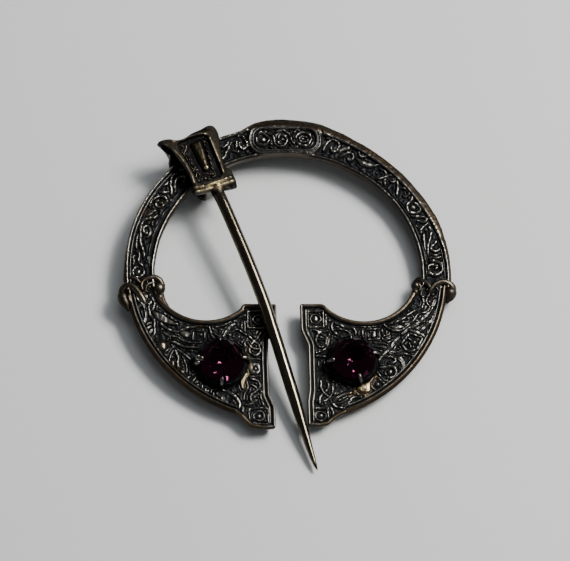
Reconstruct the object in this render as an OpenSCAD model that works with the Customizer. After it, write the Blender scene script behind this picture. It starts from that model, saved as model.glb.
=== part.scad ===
// Penannular ring brooch: an open cast hoop that widens into two flared
// terminals, a stone in claws on each, and a long pin whose shield head
// is a loop round the hoop.
// Frame: the origin is the centre of the hoop, on the plane of the
// terminals' flat backs. +Z is the side that shows, +Y points to the
// cartouche at the top and the gap between the terminals is at -Y.

/* [Hoop] */
// Outer diameter of the hoop
hoop_d = 50; // [48:0.5:52]
// Width of the hoop's band
band_w = 5; // [4.6:0.1:5.2]
// Thickness of the hoop's band, rims included
band_t = 1.9; // [1.7:0.1:1.9]
// Height of the band's flat back above the terminals' backs
band_lift = 0.2; // [0.15:0.05:0.25]
// Width of the raised rim along each edge of the band
rim_w = 0.7; // [0.5:0.1:0.9]
// Depth of the ornamented field between the rims
field_depth = 0.35; // [0.2:0.05:0.5]

/* [Terminals] */
// Thickness of the terminals
term_t = 1.9; // [1.7:0.1:1.9]
// Height of the small bosses in the corner cells
boss_h = 0.25; // [0.1:0.05:0.3]

/* [Stones] */
// Diameter of each round stone across its girdle
stone_d = 6.9; // [6.6:0.1:7]
// Height of the girdle above the terminals' backs
girdle_z = 3.0; // [2.9:0.05:3.1]
// Height of the stone's crown above the girdle
crown_h = 0.9; // [0.7:0.1:1]
// Depth of the stone below the girdle
pavilion_h = 1.95; // [1.8:0.05:2]

/* [Pin] */
// Direction of the pin in plan, from its head to its point
pin_angle = -71; // [-72:0.5:-70]
// Height of the head's flat underside over the middle of the band
head_z = 3.45; // [3.4:0.05:3.6]
// Thickness of the head's plate
head_t = 1.15; // [1:0.05:1.2]
// Slope of the head's plate, its inner end being the lower
head_slope = 1.7; // [1:0.1:2]
// Wall of the loop under the hoop
loop_wall = 0.8; // [0.7:0.05:0.9]
// Half-angle of the loop's sleeve about the hoop's centre
loop_half = 8; // [6:0.5:8]

/* [Hidden] */
$fn = 96;

hoop_r = hoop_d / 2;
band_in = hoop_r - band_w;
band_top = band_lift + band_t;

// inner scallop of each terminal: side, centre and radius
//           x      y     r
scallop_l = [-12.5,  0.0, 8.2];
scallop_r = [ 11.8, -0.1, 8.3];

// edge of each terminal along the gap, from the inner ear to the outer one
//          x      y
gap_l = [[-1.7,  -5.5],
         [-1.7,  -9.7],
         [-3.05, -11.3],
         [-3.2,  -20.3],
         [-2.3,  -22.3],
         [-2.3,  -25.9]];
gap_r = [[ 1.95, -5.5],
         [ 1.95, -10.0],
         [ 2.95, -12.4],
         [ 2.9,  -19.8],
         [ 2.6,  -21.5],
         [ 2.6,  -25.6]];
// outer ear of each terminal, a small square step beyond the round edge
//          x      y
ear_l = [[-2.3,  -25.9],
         [-4.3,  -26.1],
         [-6.0,  -25.8],
         [-6.7,  -25.1],
         [-7.7,  -23.9],
         [-8.4,  -22.6],
         [-2.3,  -22.3]];
ear_r = [[ 2.6,  -25.6],
         [ 4.4,  -25.7],
         [ 5.7,  -25.4],
         [ 6.6,  -24.6],
         [ 7.7,  -23.8],
         [ 8.4,  -22.6],
         [ 2.6,  -21.5]];

// middle of each stone
//           x       y
stone_l = [-10.25, -15.4];
stone_r = [  9.75, -15.1];
// claws of each stone: polar angle about the stone
claws_l = [5, 95, 178, 268];
claws_r = [12, 95, 188, 285];

// small bosses in the terminals' cells
//           x      y      r
bosses = [[ -4.8, -24.0, 0.55],
          [ -4.9, -8.0,  0.55],
          [ -5.2, -16.3, 0.5],
          [ -4.2, -19.0, 0.4],
          [-13.4, -10.8, 0.45],
          [-19.5, -12.4, 0.5],
          [-17.0, -17.8, 0.45],
          [  4.7, -8.1,  0.55],
          [  4.8, -23.6, 0.55],
          [ 13.2, -10.7, 0.5],
          [ 18.9, -12.2, 0.5],
          [ 15.6, -16.8, 0.5],
          [ 13.3, -18.9, 0.5]];

// middle of the pin's head in plan
head_c = [-12.6, 17.9];
// outline of the head's plate: s runs towards the point, t across
//          s      t
head = [[-4.9, -5.6],
        [-5.0, -4.2],
        [-4.2, -2.2],
        [-4.7, -0.5],
        [-4.9,  1.2],
        [-5.2,  2.6],
        [-5.0,  3.4],
        [-4.2,  3.8],
        [-2.6,  3.8],
        [ 1.2,  2.8],
        [ 2.6,  2.8],
        [ 3.1,  3.4],
        [ 4.2,  3.6],
        [ 6.0,  3.4],
        [ 5.9,  1.4],
        [ 5.5, -0.5],
        [ 5.3, -2.6],
        [ 4.7, -3.3],
        [ 2.2, -3.1],
        [-0.6, -3.5],
        [-2.9, -4.3]];
// sunk panel of the head and the long tapered boss in it
//          s      t
panel = [[-3.6, -2.2],
         [-3.4,  1.8],
         [ 3.4,  1.5],
         [ 3.2, -2.0]];
ridge = [[-2.4, -1.2],
         [-2.2,  1.1],
         [ 1.7,  0.5],
         [ 2.1,  0.0],
         [ 1.7, -0.8]];

// the pin's shank, from its root in the head to its point
//           x       y      z      r
shank = [[-10.7,   13.3,  4.00,  0.95],
         [ -9.25,   9.5,  3.95,  0.95],
         [ -5.85,   0.5,  3.55,  0.95],
         [ -3.65,  -6.0,  3.25,  0.95],
         [ -2.4,  -10.3,  2.96,  0.95],
         [ -1.45, -13.6,  2.60,  0.95],
         [ -0.4,  -17.5,  2.20,  0.95],
         [  0.6,  -21.0,  1.85,  0.93],
         [  1.65, -24.9,  1.45,  0.77],
         [  2.7,  -28.8,  1.00,  0.54],
         [  3.45, -31.2,  0.75,  0.33],
         [  3.85, -32.2,  0.65,  0.12]];

// polar angle of the loop on the hoop
loop_a = 125.5;
loop_bottom = -1.25;
loop_r_in = 18.35;
loop_r_out = 25.5;

// ---- frame -------------------------------------------------------------

// plan of the open hoop with its terminals, in one outline
module plan() {
    difference() {
        circle(r = hoop_r);
        // inside of the hoop, down to where the terminals begin
        intersection() {
            circle(r = band_in);
            translate([-30, -3.9]) square([60, 60]);
        }
        translate([-6.9, -5.5]) square([12.2, 3]);
        intersection() {
            translate([scallop_l[0], scallop_l[1]]) circle(r = scallop_l[2]);
            translate([-30, -12]) square([30, 8.2]);
        }
        intersection() {
            translate([scallop_r[0], scallop_r[1]]) circle(r = scallop_r[2]);
            translate([0, -12]) square([30, 9.6]);
        }
        // the gap
        polygon(concat(gap_l, [[-2.3, -30], [2.6, -30]],
                       [for (k = [len(gap_r) - 1 : -1 : 0]) gap_r[k]],
                       [[1.95, -5], [-1.7, -5]]));
    }
}

module hoop() {
    difference() {
        union() {
            linear_extrude(band_top) plan();
            linear_extrude(band_top) polygon(ear_l);
            linear_extrude(band_top) polygon(ear_r);
        }
        // the band's back stands a little above the terminals' backs
        translate([-30, -4.4, -1]) cube([60, 60, 1 + band_lift]);
        // the terminals' fronts are a little lower than the band's rims
        translate([-30, -34.4, term_t]) cube([60, 30, 2]);
        // sunk field between the two rims
        rotate([0, 0, -2.5]) rotate_extrude(angle = 184)
            translate([band_in + rim_w, band_top - field_depth])
                square([band_w - 2 * rim_w, 2]);
    }
}

// plate at the top, which bulges beyond the band
module cartouche() {
    difference() {
        translate([0, 0, band_lift]) linear_extrude(2.15) difference() {
            intersection() {
                translate([0.4, 12]) circle(r = 14.1);
                translate([0.4 - 7.2, 15]) square([14.4, 14]);
            }
            circle(r = band_in - 0.2);
        }
        // panel inside the border
        translate([-4.5, 20.8, 2.05]) cube([9.8, 3.0, 1]);
    }
    for (x = [-3.1, 0, 3.1])
        translate([x + 0.3, 22.5, 1.95]) cylinder(h = 0.4, r = 1.05);
}

// collar across the band where a terminal begins
module collar(a, outer, inner) {
    rotate([0, 0, a]) {
        translate([band_in + 0.2, 0, 1.5]) rotate([0, 90, 0])
            cylinder(h = band_w - 0.4, r = 0.8);
        translate([hoop_r + 0.2, 0, 1.3]) sphere(r = outer);
        translate([band_in, 0, 1.3]) sphere(r = inner);
    }
}

// the hollow under a stone, a little larger than its pavilion
module seat(c) {
    translate([c[0], c[1], 0]) rotate_extrude()
        polygon([[0, girdle_z - pavilion_h - 0.1],
                 [0.35, girdle_z - pavilion_h - 0.1],
                 [stone_d / 2 + 0.05, girdle_z - 0.1],
                 [stone_d / 2 + 0.05, girdle_z + 1],
                 [0, girdle_z + 1]]);
}

module collet(c) {
    translate([c[0], c[1], term_t - 0.1])
        cylinder(h = 0.65, r1 = stone_d / 2 + 0.6, r2 = stone_d / 2 + 0.3);
}

module claws(c, angles) {
    for (a = angles) translate([c[0], c[1], 0]) rotate([0, 0, a]) {
        translate([stone_d / 2 + 0.5, 0, term_t - 0.2])
            cylinder(h = girdle_z + 0.55 - term_t, r = 0.4);
        translate([stone_d / 2 + 0.38, 0, girdle_z + 0.45]) sphere(r = 0.48);
    }
}

module frame() {
    color([0.36, 0.33, 0.28]) {
        difference() {
            union() {
                hoop();
                cartouche();
                collar(187.5, 0.95, 0.75);
                collar(352.8, 1.0, 0.75);
                for (b = bosses) translate([b[0], b[1], term_t - 0.1])
                    cylinder(h = boss_h + 0.1, r1 = b[2] + 0.1, r2 = b[2] - 0.1);
                collet(stone_l);
                collet(stone_r);
            }
            seat(stone_l);
            seat(stone_r);
        }
        claws(stone_l, claws_l);
        claws(stone_r, claws_r);
    }
}

// ---- stones ------------------------------------------------------------

module stone(c) {
    translate([c[0], c[1], girdle_z]) rotate_extrude()
        polygon([[0, -pavilion_h],
                 [0.25, -pavilion_h],
                 [stone_d / 2, -0.05],
                 [stone_d / 2, 0.05],
                 [stone_d * 0.31, crown_h],
                 [0, crown_h]]);
}

module stone_left() { color([0.25, 0.03, 0.15]) stone(stone_l); }
module stone_right() { color([0.25, 0.03, 0.15]) stone(stone_r); }

// ---- pin ---------------------------------------------------------------

module in_head(z = 0) {
    translate([head_c[0], head_c[1], z]) rotate([0, 0, pin_angle]) children();
}

module head_plate() {
    in_head(head_z) rotate([0, head_slope, 0]) difference() {
        union() {
            linear_extrude(head_t) polygon(head);
            // bar along the inner edge
            translate([5.15, -3.3, head_t - 0.1]) rotate([-90, 0, 3])
                cylinder(h = 6.5, r = 0.42);
        }
        translate([0, 0, head_t - 0.3]) linear_extrude(1) polygon(panel);
    }
    in_head(head_z) rotate([0, head_slope, 0])
        translate([0, 0, head_t - 0.5]) linear_extrude(0.75) polygon(ridge);
}

// the wall beyond the hoop's outer edge follows the plate's outline
module outer_wall() {
    difference() {
        in_head(-0.3) linear_extrude(head_z + 0.7) polygon(head);
        // its inner face is within the sleeve's wall
        translate([0, 0, -3]) cylinder(h = 9, r = loop_r_out + 0.25);
    }
}

module sleeve() {
    o = loop_r_out;
    i = loop_r_in;
    b = loop_bottom;
    w = loop_wall;
    rotate([0, 0, loop_a - loop_half]) rotate_extrude(angle = 2 * loop_half)
        polygon([[i - w, head_z + 0.5],
                 [i - w, b + 0.9],
                 [i - w + 0.4, b - w + 0.45],
                 [i - w + 1.4, b - w],
                 [o + w - 1.4, b - w],
                 [o + w - 0.4, b - w + 0.45],
                 [o + w, b + 0.9],
                 [o + w, head_z + 0.5],
                 [o, head_z + 0.5],
                 [o, b + 0.8],
                 [o - 0.8, b],
                 [i + 0.8, b],
                 [i, b + 0.8],
                 [i, head_z + 0.5]]);
}

// one ring of the shank, square to the line between its neighbours
sides = 18;
function sub(a, b) = [a[0] - b[0], a[1] - b[1], a[2] - b[2]];
function unit(v) = v / norm(v);
function way(k) = unit(sub(shank[min(k + 1, len(shank) - 1)], shank[max(k - 1, 0)]));
function ring(k) = let(d = way(k), x = unit(cross(d, [0, 0, 1])), y = cross(x, d))
    [for (j = [0 : sides - 1])
        [shank[k][0], shank[k][1], shank[k][2]]
            + shank[k][3] * (cos(360 * j / sides) * x + sin(360 * j / sides) * y)];

module shank_body() {
    n = len(shank);
    polyhedron(
        points = [for (k = [0 : n - 1]) each ring(k)],
        faces = concat(
            [[for (j = [sides - 1 : -1 : 0]) j]],
            [for (k = [0 : n - 2]) for (j = [0 : sides - 1]) let(i = (j + 1) % sides)
                each [[k * sides + j, (k + 1) * sides + i, (k + 1) * sides + j],
                      [k * sides + j, k * sides + i, (k + 1) * sides + i]]],
            [[for (j = [0 : sides - 1]) (n - 1) * sides + j]]));
}

module pin() {
    color([0.42, 0.38, 0.32]) {
        head_plate();
        outer_wall();
        sleeve();
        shank_body();
    }
}

frame();
stone_left();
stone_right();
pin();
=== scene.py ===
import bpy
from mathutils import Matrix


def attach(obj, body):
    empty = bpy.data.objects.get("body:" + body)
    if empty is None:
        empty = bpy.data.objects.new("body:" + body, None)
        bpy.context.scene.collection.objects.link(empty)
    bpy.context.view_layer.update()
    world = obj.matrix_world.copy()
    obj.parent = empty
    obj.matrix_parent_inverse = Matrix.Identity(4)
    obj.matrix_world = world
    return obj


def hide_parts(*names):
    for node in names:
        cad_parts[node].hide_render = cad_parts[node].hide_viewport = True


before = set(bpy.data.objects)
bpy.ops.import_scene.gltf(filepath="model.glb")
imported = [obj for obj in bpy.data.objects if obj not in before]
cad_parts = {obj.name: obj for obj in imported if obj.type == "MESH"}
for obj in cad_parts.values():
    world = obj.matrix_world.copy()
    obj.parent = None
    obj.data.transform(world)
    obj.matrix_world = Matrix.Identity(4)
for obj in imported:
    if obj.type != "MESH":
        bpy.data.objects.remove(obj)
# A ring brooch: relief ornament charted in millimetres, over the imported frame.
import math

import bpy
import numpy as np
from mathutils import Matrix, Vector
from mathutils.geometry import delaunay_2d_cdt


# ---------------------------------------------------------------- engine
def warp(X, Y, amount=0.09, scale=0.85, seed=61):
    """The plan pushed about a little, so that nothing charted runs dead straight."""
    return (X + amount * noise2(X, Y, scale, seed) + 0.4 * amount * noise2(X, Y, scale * 0.4, seed + 1),
            Y + amount * noise2(X, Y, scale, seed + 2) + 0.4 * amount * noise2(X, Y, scale * 0.4, seed + 3))


def spline(P, step=0.07, closed=False):
    """Smooth line through the given points, resampled at even steps."""
    P = np.asarray(P, float).reshape(-1, 2)
    if len(P) == 2 and not closed:
        n = max(2, int(np.hypot(*(P[1] - P[0])) / step) + 1)
        return P[0] + (P[1] - P[0]) * np.linspace(0, 1, n)[:, None]
    if closed:
        Q = np.vstack([P[-1], P, P[0], P[1]])
    else:
        Q = np.vstack([2 * P[0] - P[1], P, 2 * P[-1] - P[-2]])
    out = []
    for k in range(1, len(Q) - 2):
        a, b, c, d = Q[k - 1], Q[k], Q[k + 1], Q[k + 2]
        n = max(2, int(np.hypot(*(c - b)) / step) + 1)
        t = np.linspace(0, 1, n, endpoint=False)[:, None]
        out.append(0.5 * ((2 * b) + (c - a) * t + (2 * a - 5 * b + 4 * c - d) * t * t
                          + (3 * b - a - 3 * c + d) * t ** 3))
    out.append(Q[-2:-1] if not closed else Q[1:2])
    return np.vstack(out)


def near(X, Y, L):
    """Distance of points to a polyline, the arc position there, and whether it is inside the line's ends."""
    A, B = L[:-1], L[1:]
    D = B - A
    len2 = np.maximum((D ** 2).sum(1), 1e-12)
    seg = np.sqrt(len2)
    start = np.concatenate([[0], np.cumsum(seg)[:-1]])
    best = np.full(len(X), 1e9)
    pos = np.zeros(len(X))
    inner = np.zeros(len(X), bool)
    for k in range(len(A)):
        raw = ((X - A[k, 0]) * D[k, 0] + (Y - A[k, 1]) * D[k, 1]) / len2[k]
        t = np.clip(raw, 0, 1)
        d = np.hypot(X - A[k, 0] - t * D[k, 0], Y - A[k, 1] - t * D[k, 1])
        m = d < best
        best[m] = d[m]
        pos[m] = start[k] + t[m] * seg[k]
        ok = np.ones(len(X), bool)
        if k == 0:
            ok &= raw >= 0
        if k == len(A) - 1:
            ok &= raw <= 1
        inner[m] = ok[m]
    return best, pos, inner, seg.sum()


def hash01(i, j, s=0):
    h = (i * 374761393 + j * 668265263 + s * 2147483647) & 0x7FFFFFFF
    h = ((h ^ (h >> 13)) * 1274126177) & 0x7FFFFFFF
    return ((h ^ (h >> 16)) & 0xFFFF) / 65535.0


def noise2(X, Y, scale, seed=0):
    """Smooth value noise from -1 to 1."""
    x, y = np.asarray(X) / scale, np.asarray(Y) / scale
    i, j = np.floor(x).astype(np.int64), np.floor(y).astype(np.int64)
    u, v = x - i, y - j
    u, v = u * u * (3 - 2 * u), v * v * (3 - 2 * v)
    a, b = hash01(i, j, seed), hash01(i + 1, j, seed)
    c, d = hash01(i, j + 1, seed), hash01(i + 1, j + 1, seed)
    return 2 * ((a * (1 - u) + b * u) * (1 - v) + (c * (1 - u) + d * u) * v) - 1


MOAT = 0.13


def lay(H, X, Y, L, w, h, floor, style="s", butt=False, taper=0.0, cut=0.05):
    """Lays one strand over the heights H: a moat beside it, then its rounded top."""
    half = w / 2
    pad = half + MOAT + 0.02
    lo, hi = L.min(0) - pad, L.max(0) + pad
    idx = np.nonzero((X > lo[0]) & (X < hi[0]) & (Y > lo[1]) & (Y < hi[1]))[0]
    if not len(idx):
        return
    d, s, inner, total = near(X[idx], Y[idx], L)
    hw = np.full(len(idx), half)
    if taper:
        e = np.clip(np.minimum(s, total - s) / taper, 0, 1)
        hw = half * (0.35 + 0.65 * e)
    keep = inner if butt else np.ones(len(idx), bool)
    moat = keep & (d < hw + MOAT)
    k = np.clip((d - hw) / MOAT, 0, 1)
    level = floor - cut + (k ** 2) * 1.2
    m = moat & (d >= hw)
    H[idx[m]] = np.minimum(H[idx[m]], level[m])
    m = keep & (d < hw)
    q = d[m] / hw[m]
    xm, ym = X[idx[m]], Y[idx[m]]
    h = h * (1.08 + 0.32 * noise2(xm, ym, 1.0, 51) + 0.15 * noise2(xm, ym, 0.38, 52))
    top = floor + h * np.sqrt(np.clip(1 - q ** 2.2, 0, 1))
    if style == "d":
        top = top - 0.42 * h * np.exp(-(q / 0.24) ** 2)
    elif style == "t":
        top = top - 0.36 * h * (np.exp(-((q - 0.36) / 0.16) ** 2))
    elif style == "b":
        top = floor + h * (0.55 + 0.45 * np.cos(s[m] * 2 * math.pi / 0.42)) * np.sqrt(np.clip(1 - q ** 2, 0, 1))
    H[idx[m]] = top


def boss(H, X, Y, x, y, r, h, floor, ring=0.0):
    pad = r + MOAT + ring + 0.2
    idx = np.nonzero((abs(X - x) < pad) & (abs(Y - y) < pad))[0]
    d = np.hypot(X[idx] - x, Y[idx] - y)
    m = (d >= r) & (d < r + MOAT + 0.03)
    lvl = floor - 0.06 + ((d - r) / MOAT).clip(0, 2) ** 2 * 0.9
    H[idx[m]] = np.minimum(H[idx[m]], lvl[m])
    m = d < r
    H[idx[m]] = floor + h * np.sqrt(np.clip(1 - (d[m] / r) ** 2.2, 0, 1))


def leaf(H, X, Y, poly, h, floor, edge=0.22, rim=0.0):
    """A filled shape with a rounded edge, from its outline."""
    L = spline(poly, closed=True, step=0.1)
    lo, hi = L.min(0) - 0.3, L.max(0) + 0.3
    idx = np.nonzero((X > lo[0]) & (X < hi[0]) & (Y > lo[1]) & (Y < hi[1]))[0]
    if not len(idx):
        return
    d, s, _, _ = near(X[idx], Y[idx], L)
    ins = inside(X[idx], Y[idx], L)
    m = ~ins & (d < MOAT)
    H[idx[m]] = np.minimum(H[idx[m]], floor - 0.06 + (d[m] / MOAT) ** 2 * 1.2)
    q = np.clip(d[ins] / edge, 0, 1)
    top = floor + h * np.sqrt(np.clip(1 - (1 - q) ** 2, 0, 1))
    if rim:
        top = top - rim * h * np.clip((d[ins] - edge) / 0.12, 0, 1)
    H[idx[ins]] = top


def inside(X, Y, L):
    c = np.zeros(len(X), bool)
    x0, y0 = L[-1]
    for x1, y1 in L:
        if y0 != y1:
            m = ((y1 > Y) != (y0 > Y)) & (X < (x0 - x1) * (Y - y1) / (y0 - y1) + x1)
            c ^= m
        x0, y0 = x1, y1
    return c


def crossings(lines):
    """Where the woven strands cross: (i, s_i, j, s_j)."""
    out = []
    for i in range(len(lines)):
        Li = lines[i]
        si = np.concatenate([[0], np.cumsum(np.hypot(*np.diff(Li, axis=0).T))])
        for j in range(i + 1, len(lines)):
            Lj = lines[j]
            if (Li.min(0) > Lj.max(0)).any() or (Lj.min(0) > Li.max(0)).any():
                continue
            sj = np.concatenate([[0], np.cumsum(np.hypot(*np.diff(Lj, axis=0).T))])
            A, B = Li[:-1, None], Li[1:, None]
            C, D = Lj[None, :-1], Lj[None, 1:]
            r, q = B - A, D - C
            den = r[..., 0] * q[..., 1] - r[..., 1] * q[..., 0]
            den = np.where(abs(den) < 1e-12, 1e-12, den)
            w = C - A
            t = (w[..., 0] * q[..., 1] - w[..., 1] * q[..., 0]) / den
            u = (w[..., 0] * r[..., 1] - w[..., 1] * r[..., 0]) / den
            for a, b in zip(*np.nonzero((t >= 0) & (t < 1) & (u >= 0) & (u < 1))):
                out.append((i, si[a] + t[a, b] * (si[a + 1] - si[a]),
                            j, sj[b] + u[a, b] * (sj[b + 1] - sj[b])))
    return out


def part_of(L, a, b):
    s = np.concatenate([[0], np.cumsum(np.hypot(*np.diff(L, axis=0).T))])
    a, b = max(a, 0), min(b, s[-1])
    t = np.linspace(a, b, max(3, int((b - a) / 0.06)))
    return np.stack([np.interp(t, s, L[:, 0]), np.interp(t, s, L[:, 1])], 1)


def weave(H, X, Y, strands, floor):
    """Lays strands and lets them pass over and under one another in turn."""
    lines = [spline(s[3]) for s in strands]
    for L, s in zip(lines, strands):
        lay(H, X, Y, L, s[1], s[2], floor, style=s[0], taper=s[4] if len(s) > 4 else 0.0)
    cs = crossings(lines)
    state = {}
    for i in range(len(lines)):
        mine = sorted([(c[1], k, True) for k, c in enumerate(cs) if c[0] == i]
                      + [(c[3], k, False) for k, c in enumerate(cs) if c[2] == i])
        start = 0
        for n, (pos, k, first) in enumerate(mine):
            if k in state:                      # True when the first strand is over
                over = state[k] if first else not state[k]
                start = (n + (0 if over else 1)) % 2
                break
        for n, (pos, k, first) in enumerate(mine):
            over = (n - start) % 2 == 0
            if k not in state:
                state[k] = over if first else not over
    for k, (i, si, j, sj) in enumerate(cs):
        if state[k]:
            s = strands[i]
            g = strands[j][1] / 2 + s[1] / 2 + 0.12
            lay(H, X, Y, part_of(lines[i], si - g, si + g), s[1], s[2], floor, style=s[0], butt=True)


# ---------------------------------------------------------------- charts
# kinds: s single ridge, d ridge with a groove, t ridge with two grooves, b beaded, o boss, l leaf, p pit
# strand: kind, width, height, points ; boss: "o", radius, height, (x, y) ; leaf: "l", edge, height, outline

LEFT_WOVEN = [
    ("d", .50, .34, [-22.9,-3.4, -22.9,-4.6, -22.2,-5.6, -21.75,-6.9, -21.9,-8.3, -22.5,-9.3, -22.2,-10.3, -21.3,-10.5, -20.8,-9.8]),
    ("d", .46, .34, [-22.0,-3.6, -21.7,-4.5, -22.3,-5.5, -23.2,-6.3, -23.2,-7.6, -22.8,-8.8, -21.9,-9.7, -21.1,-9.2]),
    ("s", .42, .34, [-21.2,-3.9, -20.8,-4.9, -21.3,-5.9, -21.2,-7.1, -20.6,-8.3, -20.45,-9.6, -20.6,-10.6, -21.3,-11.3]),
    ("s", .36, .32, [-20.9,-4.3, -20.4,-5.6, -20.9,-6.6, -21.7,-6.3]),
    ("s", .36, .32, [-23.0,-9.7, -22.3,-11.0, -21.3,-11.6, -20.6,-11.2]),
    ("s", .36, .32, [-22.3,-11.6, -21.6,-12.6, -20.9,-14.0, -19.9,-14.7]),
]
LEFT = [
    ("l", .22, .34, [-20.75,-6.7, -19.7,-6.95, -18.3,-7.9, -16.7,-8.85, -17.9,-9.0, -19.4,-8.55, -20.4,-7.8]),
    ("s", .46, .32, [-19.6,-8.7, -18.9,-9.3, -18.05,-9.86, -16.7,-10.0, -15.3,-9.5, -13.5,-9.2, -12.3,-9.3]),
    ("s", .36, .28, [-19.2,-10.2, -18.2,-10.8, -17.0,-11.1, -16.2,-11.6, -15.0,-11.9, -13.2,-11.95]),
    ("s", .44, .34, [-17.9,-11.75, -16.21,-12.46, -15.03,-12.72, -13.6,-12.9]),
    ("l", .16, .30, [-16.6,-10.3, -15.6,-10.05, -15.05,-10.5, -15.4,-11.1, -16.1,-10.95]),
    ("s", .32, .34, [-14.48,-10.1, -14.62,-11.5]),
    ("s", .28, .28, [-14.2,-9.95, -12.9,-9.95]),
    ("o", .36, .36, (-13.35,-10.65)),
    ("s", .28, .34, [-12.66,-10.2, -12.74,-11.3]),
    ("s", .40, .32, [-12.15,-9.2, -11.9,-10.4, -11.4,-11.3]),
    ("s", .32, .30, [-11.5,-10.3, -10.75,-10.95, -10.3,-11.7]),
    ("s", .34, .28, [-11.2,-9.35, -9.9,-9.15, -8.7,-8.4]),
    ("d", .46, .34, [-10.05,-11.1, -9.24,-9.85, -8.1,-8.75]),
    ("s", .36, .32, [-8.9,-10.2, -7.7,-9.85, -6.4,-10.7]),
    ("s", .30, .34, [-6.68,-8.4, -6.62,-10.2]),
    ("s", .30, .30, [-9.3,-11.4, -8.3,-11.4, -7.4,-10.8]),
    ("s", .30, .30, [-9.6,-10.5, -8.7,-10.75]),
    ("s", .30, .30, [-7.6,-7.9, -7.1,-7.7, -6.4,-7.4]),
    # left of the stone
    ("o", .90, .46, (-19.43,-12.40)),
    ("s", .22, .34, [-18.56,-11.72, -18.33,-11.22]),
    ("s", .22, .34, [-18.10,-11.32, -18.13,-10.82]),
    ("s", .34, .30, [-17.55,-13.15, -18.0,-14.04, -18.28,-15.04, -18.15,-15.85, -17.6,-16.3]),
    ("s", .46, .38, [-17.40,-13.10, -17.05,-14.0, -16.91,-15.23, -16.94,-16.05]),
    ("o", .22, .36, (-17.70,-14.35)),
    ("l", .12, .36, [-17.92,-15.0, -17.55,-15.0, -17.5,-15.7, -17.85,-15.8]),
    ("s", .34, .30, [-17.1,-12.9, -16.32,-13.60, -15.56,-14.18, -14.98,-14.72]),
    ("s", .28, .24, [-16.4,-14.0, -15.95,-14.9, -15.65,-15.9, -15.7,-16.9]),
    ("s", .16, .20, [-16.55,-15.0, -16.15,-15.2]),
    ("s", .16, .20, [-16.5,-15.5, -16.1,-15.7]),
    ("s", .16, .20, [-16.5,-16.0, -16.1,-16.2]),
    ("o", .46, .34, (-17.85,-16.35)),
    ("o", .40, .34, (-17.0,-17.05)),
    ("o", .24, .40, (-16.60,-17.8)),
    ("s", .34, .34, [-16.13,-18.86, -15.70,-18.22, -15.19,-17.41]),
    ("s", .32, .34, [-15.29,-18.86, -14.61,-18.14, -14.26,-17.41]),
    ("s", .32, .32, [-15.9,-19.75, -15.14,-19.94, -14.5,-19.4, -13.94,-18.86]),
    ("s", .32, .30, [-14.3,-20.3, -13.6,-19.6, -13.2,-18.8]),
    ("s", .34, .32, [-13.4,-20.9, -12.9,-20.2, -12.8,-19.5]),
    # below the stone
    ("s", .34, .32, [-12.4,-19.7, -12.7,-20.7, -13.4,-21.6]),
    ("s", .32, .32, [-11.6,-20.0, -11.7,-21.0, -12.3,-21.9]),
    ("s", .30, .30, [-12.5,-21.6, -11.3,-20.9, -10.5,-21.8, -9.3,-22.4]),
    ("s", .34, .30, [-12.3,-22.4, -10.6,-22.55, -8.5,-22.6]),
    ("s", .30, .28, [-11.2,-23.05, -9.6,-23.3, -8.0,-23.6]),
    ("s", .50, .36, [-10.3,-19.7, -9.1,-20.1, -8.2,-20.9, -7.75,-21.8, -7.75,-22.8]),
    ("d", .52, .34, [-11.1,-20.1, -10.3,-21.0, -9.5,-22.0]),
    ("s", .40, .34, [-7.2,-22.4, -7.15,-24.0]),
    ("s", .30, .28, [-8.6,-22.1, -8.3,-23.0]),
    # column beside the gap
    ("s", .34, .32, [-6.3,-14.65, -4.3,-14.65]),
    ("l", .20, .34, [-6.0,-15.4, -4.5,-15.4, -4.5,-17.0, -6.0,-17.0]),
    ("o", .34, .44, (-5.15,-16.3)),
    ("s", .30, .30, [-6.2,-17.5, -4.3,-17.5]),
    ("s", .40, .36, [-6.5,-12.9, -6.75,-14.2, -6.55,-15.8, -6.9,-17.2, -7.3,-18.4, -7.1,-19.6]),
    ("s", .30, .30, [-6.6,-18.0, -6.4,-19.3, -6.9,-20.4, -7.0,-21.4]),
    ("s", .30, .34, [-4.02,-15.0, -4.0,-18.3]),
    ("o", .28, .38, (-4.1,-19.1)),
    ("s", .30, .30, [-7.0,-22.1, -6.1,-22.05, -5.0,-21.3]),
]
LEFT_COLUMN = [
    ("s", .36, .34, [-6.3,-10.6, -5.5,-11.5, -4.6,-12.3, -4.35,-13.3, -5.1,-14.1, -5.95,-13.5, -5.7,-12.3, -4.8,-11.3, -4.2,-10.2]),
    ("s", .34, .34, [-6.3,-12.0, -5.5,-12.9, -4.6,-13.0, -4.2,-11.9]),
    ("s", .34, .32, [-5.9,-17.9, -4.9,-18.3, -4.6,-19.2, -5.2,-20.0, -5.9,-20.4, -6.1,-21.2, -5.6,-22.0]),
    ("s", .34, .32, [-6.0,-18.8, -5.2,-19.2, -4.4,-20.0, -4.5,-20.9, -4.15,-22.2]),
    ("s", .30, .32, [-5.5,-21.0, -4.9,-20.5, -4.0,-20.7]),
]
LEFT_CELLS = [(-6.15,-6.75,-2.85,-9.55), (-6.25,-22.75,-3.35,-25.2)]

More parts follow.
